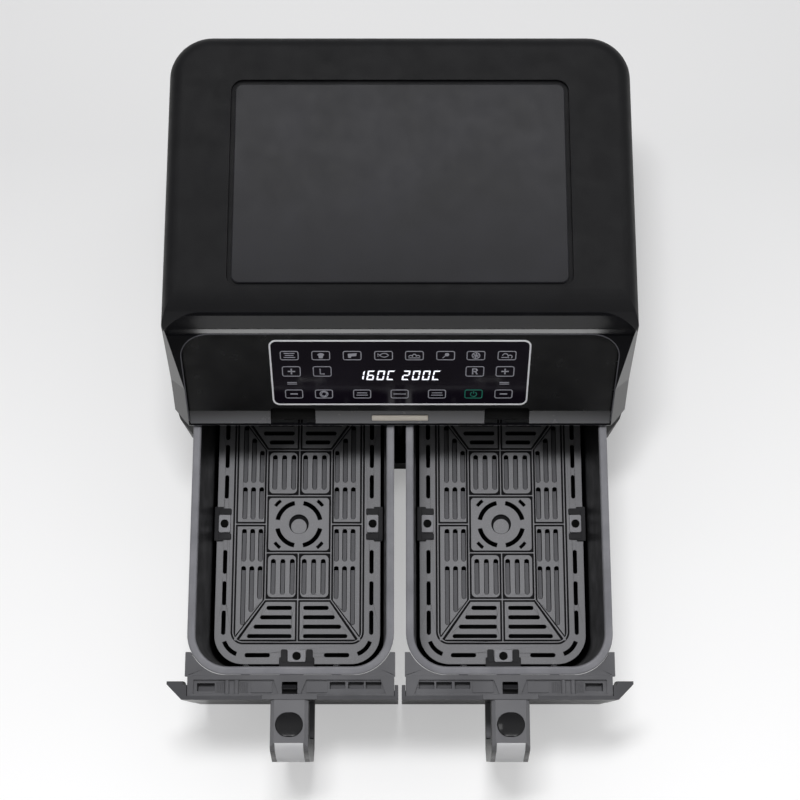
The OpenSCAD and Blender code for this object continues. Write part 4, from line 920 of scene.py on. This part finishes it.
def iconStrokes():
    # Outline, then the symbol inside it: one per food, all in mm about the middle of the glass
    lines, blobs = [], []
    top, mid, low = 19.5, 1.95, -23.6
    row = [-91, -65.1, -39.3, -13.5, 11.8, 37.5, 62.4, 87.9]
    for u in row:
        lines.append(box2d(u, top, 14.6, 9.2))
    u = row[0]
    # Bars of a cooking-time list
    for k, w in enumerate((9.0, 7.0, 9.6)):
        lines.append(bar2d(u, top + 2.4 - 2.2 * k, w))
    u = row[1]
    # Muffin: cup and domed top
    blobs.append([(u - 2.1, top + 0.2), (u - 1.5, top - 2.9), (u + 1.5, top - 2.9), (u + 2.1, top + 0.2)])
    blobs.append(arc2d(u, top + 0.3, 2.9, 0, 180, 0.85))
    u = row[2]
    # Steak block
    steak = ((-3.6, 2.0), (3.8, 2.6), (3.4, -0.4), (-0.6, -0.8), (-1.2, -2.6), (-3.4, -2.2))
    blobs.append([(u + x, top + y) for x, y in steak])
    u = row[3]
    # Fish
    lines.append((arc2d(u + 0.5, top - 1.6, 4.0, 30, 150), False))
    lines.append((arc2d(u + 0.5, top + 2.4, 4.0, -30, -150), False))
    tail = ((-2.9, 0.4), (-4.9, 1.9), (-4.9, -1.1), (-2.9, 0.4))
    lines.append(([(u + x, top + y) for x, y in tail], False))
    u = row[4]
    # Shrimp tray: three small mounds on a line
    for e in (-3.0, 0.0, 3.0):
        lines.append((arc2d(u + e, top - 1.2 + (1.2 if e == 0 else 0), 1.5, 0, 180), False))
    lines.append(bar2d(u, top - 2.5, 9.6))
    u = row[5]
    # Drumstick
    blobs.append(arc2d(u + 1.1, top + 1.1, 1.8, 0, 330))
    lines.append(([(u + 0.2, top + 0.2), (u - 2.5, top - 2.7)], False))
    u = row[6]
    # Round pizza with its cuts
    lines.append((arc2d(u, top, 3.2, 0, 348), True))
    for a in (20, 80, 140):
        c, d = 3.0 * math.cos(math.radians(a)), 3.0 * math.sin(math.radians(a))
        lines.append(([(u - c, top - d), (u + c, top + d)], False))
    u = row[7]
    # Cloche over a dish
    lines.append((arc2d(u - 1.4, top - 0.2, 2.3, 0, 180), False))
    lines.append((arc2d(u + 2.6, top - 1.2, 1.7, -60, 240), False))
    lines.append(bar2d(u - 1.6, top - 2.0, 6.0))
    # Middle row: plus, left, right, plus
    for u in (-90.1, -64.5, 62.1, 87.1):
        lines.append(box2d(u, mid, 14.7, 10.6))
    bold = []
    for u in (-90.1, 87.1):
        bold.append(bar2d(u, mid, 6.2))
        bold.append(([(u, mid - 3.1), (u, mid + 3.1)], False))
        for e in (-12.4, -14.2):
            lines.append(bar2d(u, mid + e, 8.0))
    bold.append(([(-66.2, mid + 3.0), (-66.2, mid - 2.8), (-62.6, mid - 2.8)], False))
    bowl = ((60.3, -3.2), (60.3, 2.8), (63.2, 2.8), (64.0, 1.4), (63.2, 0), (60.3, 0))
    bold.append(([(x, mid + y) for x, y in bowl], False))
    bold.append(([(62.2, mid), (64.1, mid - 3.2)], False))
    # Lower row
    for u in (-89, -63.9, -31.8, -0.3, 31.1, 87):
        lines.append(box2d(u, low, 14.4, 9.2))
    for u in (-89, 87):
        bold.append(bar2d(u, low, 6.2))
    lines.append((arc2d(-63.9, low, 3.4, 0, 348), True))
    for k in range(4):
        a = 90 * k + 20
        x, y = 1.3 * math.cos(math.radians(a)), 1.3 * math.sin(math.radians(a))
        lines.append((arc2d(-63.9 + x, low + y, 1.2, a - 70, a + 90), False))
    for u, bars in ((-31.8, (8.4, 9.6)), (-0.3, (10.4,)), (31.1, (8.8, 9.8))):
        for k, w in enumerate(bars):
            v = low + (len(bars) - 1) * 1.3 - 2.6 * k
            lines.append(bar2d(u, v, w))
    power = [box2d(61.8, low, 14.4, 9.2), (arc2d(61.8, low - 0.2, 2.6, 120, 420), False),
             ([(61.8, low + 0.4), (61.8, low + 3.2)], False)]
    return lines, bold, power, blobs


def flatBlobs(name, outlines, thickness, material):
    # Filled outlines with a little thickness, in the panel's plane
    vertices, faces = [], []
    for outline in outlines:
        n, base = len(outline), len(vertices)
        vertices += [(x, y, z) for z in (-thickness / 2, thickness / 2) for x, y in outline]
        faces += [tuple(base + k for k in range(n))[::-1], tuple(base + n + k for k in range(n))]
        faces += [(base + k, base + (k + 1) % n, base + n + (k + 1) % n, base + n + k) for k in range(n)]
    return newPiece(name, vertices, faces, material)


segments = {"1": "bc", "6": "acdefg", "0": "abcdef", "2": "abdeg", "C": "adef"}


def digitOutlines(text, u, v, height=10.5, width=6.0, pitch=8.4, thick=1.25, slant=0.16):
    # Seven-segment figures leaning to the right; u is the left edge of the first
    found = []
    gap = 0.3
    h, w, t = height / 2, width, thick
    shapes = {
        "a": [(gap, 2 * h), (w - gap, 2 * h), (w - t, 2 * h - t), (t, 2 * h - t)],
        "d": [(gap, 0), (w - gap, 0), (w - t, t), (t, t)],
        "g": [(t * 0.6, h), (t, h + t / 2), (w - t, h + t / 2), (w - t * 0.6, h),
              (w - t, h - t / 2), (t, h - t / 2)],
        "f": [(0, 2 * h - gap), (t, 2 * h - t - gap), (t, h + t / 2 + gap), (0, h + gap)],
        "b": [(w, 2 * h - gap), (w - t, 2 * h - t - gap), (w - t, h + t / 2 + gap), (w, h + gap)],
        "e": [(0, gap), (t, t + gap), (t, h - t / 2 - gap), (0, h - gap)],
        "c": [(w, gap), (w - t, t + gap), (w - t, h - t / 2 - gap), (w, h - gap)],
    }
    for k, figure in enumerate(text):
        for key in segments[figure]:
            found.append([(u + pitch * k + x + slant * y, v - h + y) for x, y in shapes[key]])
    return found


def makePanelPrint(s):
    lines, bold, power, blobs = iconStrokes()
    film = 2 * s["film"]
    figures = digitOutlines("160C", -36.6, -2.4) + digitOutlines("200C", 1.2, -2.4)
    icons = [sweptStrokes("thin", lines, s["stroke"], film, finish["print"]),
             sweptStrokes("bold", bold, s["bold"], film, finish["print"]),
             flatBlobs("blobs", blobs, film, finish["print"])]
    jobs = (
        ("iconPrint", icons, "print"),
        ("powerPrint", [sweptStrokes("power", power, s["stroke"], film, finish["power"])], "power"),
        ("displayFigures", [flatBlobs("figures", figures, film, finish["digits"])], "digits"),
    )
    for name, parts, key in jobs:
        for part in parts:
            laidOnFascia(part, s["middle"], s["surface"] + s["film"])
        piece = joined(name, parts)
        coverWith(piece.data, finish[key])
        place(piece, "housing", "control_glass")


badgeSizes = {"width": 48, "height": 5.4, "v": 5.6, "lipRise": 3, "lipHeight": 12}


def makeBadge(s):
    # Bare metal plate on the lip, its face tilted with the lip
    rings = []
    tilt = math.atan2(s["lipRise"], s["lipHeight"])
    middle = s["lipRise"] * (1 - s["v"] / s["lipHeight"])
    for inset, rise in ((0, -0.4), (0, 0.45), (0.12, 0.68), (0.4, 0.8)):
        ring = []
        for x, y in roundedRing(s["width"] - 2 * inset, s["height"] - 2 * inset, 0.8, 5):
            v = s["v"] + y * math.cos(tilt) + rise * math.sin(tilt)
            ring.append(onFascia(x, v, middle - y * math.sin(tilt) + rise * math.cos(tilt)))
        rings.append(ring)
    piece = lofted("badgePlate", rings, finish["badge"])
    finishPiece(piece, "housing", "bright_trim")


edgeSizes = {
    "half": 179.4, "top": 101.2, "corner": 24.6, "proud": 4.0, "width": 0.9, "thick": 0.5,
    "lipFrom": 170.6, "lipTo": 178.7,
    # section of the lip's ends as (up the slope, out from it)
    "lip": ((0, -0.3), (12.2, -0.3), (12.0, 0.03), (0.05, 3.0)),
    "sillX": drawerSizes["x"], "sillY": -7.8, "sillZ": 159.9,
    "sillWidth": 41.0, "sillDepth": 11.6, "sillHeight": 1.5,
}


def makeFasciaEdge(s):
    # Fine bead along the edge of the surround's recess, pale grey on the black gloss: a painted highlight
    # along that edge
    h, t, r = s["half"], s["top"], s["corner"]
    line = [(-h, 4.0)] + [(-h, t * k / 5) for k in range(1, 4)]
    turns = [math.radians(180 - 90 * k / 10) for k in range(11)]
    line += [(-h + r + r * math.cos(a), t - r + r * math.sin(a)) for a in turns]
    line += [(-x, y) for x, y in line[::-1]]
    bead = sweptStrokes("fasciaBead", [(line, False)], s["width"], s["thick"], finish["rimLine"])
    laidOnFascia(bead, 0, s["proud"])
    coverWith(bead.data, finish["rimLine"])
    finishPiece(bead, "housing", "surround_gloss")
    # Black sill that closes each thumb cut-out from below: painted shade inside the cut-out
    parts = []
    reach = s["sillHeight"] / 2
    for e in (-1, 1):
        rings = padRings(e * s["sillX"], s["sillY"], s["sillWidth"], s["sillDepth"], 1.0, 3,
                         ((0, s["sillZ"] - reach), (0, s["sillZ"] + reach)))
        parts.append(lofted("sill", rings, finish["shade"]))
    # The lip runs on to the sides of the recess
    for e in (-1, 1):
        rings = [[onFascia(e * u, v, out) for v, out in s["lip"]] for u in (s["lipFrom"], s["lipTo"])]
        parts.append(lofted("lipEnd", rings if e > 0 else rings[::-1], finish["fascia"]))
    sills = joined("thumbSills", parts)
    finishPiece(sills, "housing", "fascia_plastic")


makePanelPrint(panelSizes)
makeBadge(badgeSizes)
makeFasciaEdge(edgeSizes)
print("touch panel ready")


# Things that repeat

def repeatTree():
    # A piece copied along a row, and the row copied sideways
    kinds = {"Piece": "Object", "Count": "Int", "Rows": "Int", "Start": "Vector", "Pitch": "Vector",
             "Row Pitch": "Vector", "Finish": "Material"}
    tree, sockets, given = newTree("repeatPiece", kinds)
    row = addNode(tree, "GeometryNodeMeshLine", {"mode": "OFFSET"},
                  {"Count": given["Count"], "Offset": given["Pitch"]})
    rows = addNode(tree, "GeometryNodeMeshLine", {"mode": "OFFSET"},
                   {"Count": given["Rows"], "Start Location": given["Start"], "Offset": given["Row Pitch"]})
    grid = addNode(tree, "GeometryNodeInstanceOnPoints", None,
                   {"Points": rows.outputs["Mesh"], "Instance": row.outputs["Mesh"]})
    spots = addNode(tree, "GeometryNodeRealizeInstances", None, {"Geometry": grid.outputs["Instances"]})
    piece = addNode(tree, "GeometryNodeObjectInfo", {"transform_space": "ORIGINAL"},
                    {"Object": given["Piece"]})
    copies = addNode(tree, "GeometryNodeInstanceOnPoints", None,
                     {"Points": spots.outputs["Geometry"], "Instance": piece.outputs["Geometry"]})
    solid = addNode(tree, "GeometryNodeRealizeInstances", None, {"Geometry": copies.outputs["Instances"]})
    finished = addNode(tree, "GeometryNodeSetMaterial", None,
                       {"Geometry": solid.outputs["Geometry"], "Material": given["Finish"]})
    addNode(tree, "NodeGroupOutput", None, {"Geometry": finished.outputs["Geometry"]})
    return tree, sockets


repeatNodes, repeatSockets = repeatTree()


def repeated(name, piece, start, count, pitch, rows, rowPitch, material):
    host = newObject(name, bpy.data.meshes.new(name))
    pattern = host.modifiers.new("repeat", "NODES")
    pattern.node_group = repeatNodes
    values = {"Piece": piece, "Count": count, "Rows": rows, "Start": [c * mm for c in start],
              "Pitch": [c * mm for c in pitch], "Row Pitch": [c * mm for c in rowPitch], "Finish": material}
    for key, value in values.items():
        pattern[repeatSockets[key]] = value
    settle(host)
    bpy.data.objects.remove(piece)
    finishShading(host, 40)
    return host


def screwHead(name, radius, height, material, point):
    # Pan head with a cross recess; point puts (across, across, out) into the model's axes
    turns = [math.tau * k / 32 for k in range(32)]
    rings = []
    for r, z in ((1.0, 0.0), (1.0, 0.35), (0.95, 0.62), (0.82, 0.84), (0.6, 0.97), (0.5, 1.0)):
        rings.append([point(radius * r * math.cos(a), radius * r * math.sin(a), height * z) for a in turns])

    def cross(reach, half, z):
        found = []
        for a in turns:
            c, d = abs(math.cos(a)), abs(math.sin(a))
            long, short = max(c, d), min(c, d)
            r = min(reach / long, half / short if short > 1e-6 else 99)
            found.append(point(radius * r * math.cos(a), radius * r * math.sin(a), height * z))
        return found

    rings += [cross(0.47, 0.13, 1.0), cross(0.45, 0.12, 0.93), cross(0.34, 0.09, 0.35)]
    return lofted(name, rings, material)


coverLow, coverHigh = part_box("rear_cover")
rearSizes = {
    "face": coverHigh[1] / mm - 10,                      # its wall spacers stand 10 mm proud
    "middleZ": (coverLow[2] + coverHigh[2]) / 2 / mm,
    "screwX": 115, "screwZ": 63.6, "screwRadius": 3.5, "screwHeight": 1.6,
    "slotPitch": 7, "slotCount": 14, "blockX": 72.8, "rowZ": 24, "ribWidth": 1.5, "ribLength": 33,
}


def makeRear(s):
    # Screws at the cover's corners, and a fine rib down every louvre
    head = screwHead("coverScrewHead", s["screwRadius"], s["screwHeight"], finish["screw"],
                     lambda a, b, out: (a, out, b))
    screws = repeated("coverScrewHeads", head, (-s["screwX"], s["face"], s["middleZ"] - s["screwZ"]),
                      2, (2 * s["screwX"], 0, 0), 2, (0, 0, 2 * s["screwZ"]), finish["screw"])
    place(screws, "housing", "screw_steel", ("cover_screws",))
    parts = []
    for e in (-1, 1):
        rings = []
        for g, out in ((1.0, -0.3), (1.0, 0.25), (0.75, 0.5), (0.4, 0.58)):
            outline = roundedRing(s["ribWidth"], s["ribLength"], 0.7, 3)
            rings.append([(x * g, out, z * (1 - (1 - g) * 0.04)) for x, z in outline])
        rib = lofted("louvreRib", rings, finish["base"])
        first = e * s["blockX"] - (s["slotCount"] - 1) / 2 * s["slotPitch"]
        start = (first, s["face"], s["middleZ"] - s["rowZ"])
        parts.append(repeated(f"louvreRibs{e}", rib, start, s["slotCount"], (s["slotPitch"], 0, 0),
                              2, (0, 0, 2 * s["rowZ"]), finish["base"]))
    place(joined("rearLouvreRibs", parts), "housing", "base_plastic")


hatchSizes = {
    "x": drawerSizes["x"], "frontY": drawerSizes["frontY"], "y": 10.3, "z": 151.5,
    "zones": ((-60.5, 5), (-41.0, 5)),                   # where each group starts, and its ribs
    "pitch": 1.5, "width": 0.8, "length": 8.4, "rise": 1.1,
}


def makeHatch(side, s):
    # Fine ribs in the trough of the drawer's frame
    sign = sides[side]
    parts = []
    for k, (start, count) in enumerate(s["zones"]):
        rings = []
        for g, z in ((1.0, -0.2), (1.0, s["rise"] - 0.25), (0.6, s["rise"])):
            rings.append([(x * g, y, z) for x, y in roundedRing(s["width"], s["length"], 0.3, 2)])
        rib = lofted("hatchRib", rings, finish["frame"])
        first = (sign * (s["x"] - start), s["frontY"] + s["y"], s["z"])
        parts.append(repeated(f"hatch{k}", rib, first, count, (-sign * s["pitch"], 0, 0),
                              1, (0, 1, 0), finish["frame"]))
    place(joined(camel(f"trough_hatch_{side}"), parts), f"drawer_{side}", "frame_plastic")


baseScrewSizes = {"radius": 4.0, "height": 1.5}


def makeBaseScrews(s):
    low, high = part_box("base_screws")
    r = s["radius"]
    span = [(high[k] - low[k]) / mm - 2 * r for k in range(2)]
    head = screwHead("baseScrewHead", r, s["height"], finish["screw"], lambda a, b, out: (a, -b, -out))
    screws = repeated("baseScrewHeads", head, (low[0] / mm + r, low[1] / mm + r, high[2] / mm),
                      2, (span[0], 0, 0), 2, (0, span[1], 0), finish["screw"])
    place(screws, "housing", "screw_steel", ("base_screws",))


makeRear(rearSizes)
makeBaseScrews(baseScrewSizes)
for side in sides:
    makeHatch(side, hatchSizes)
print("repeated parts ready")
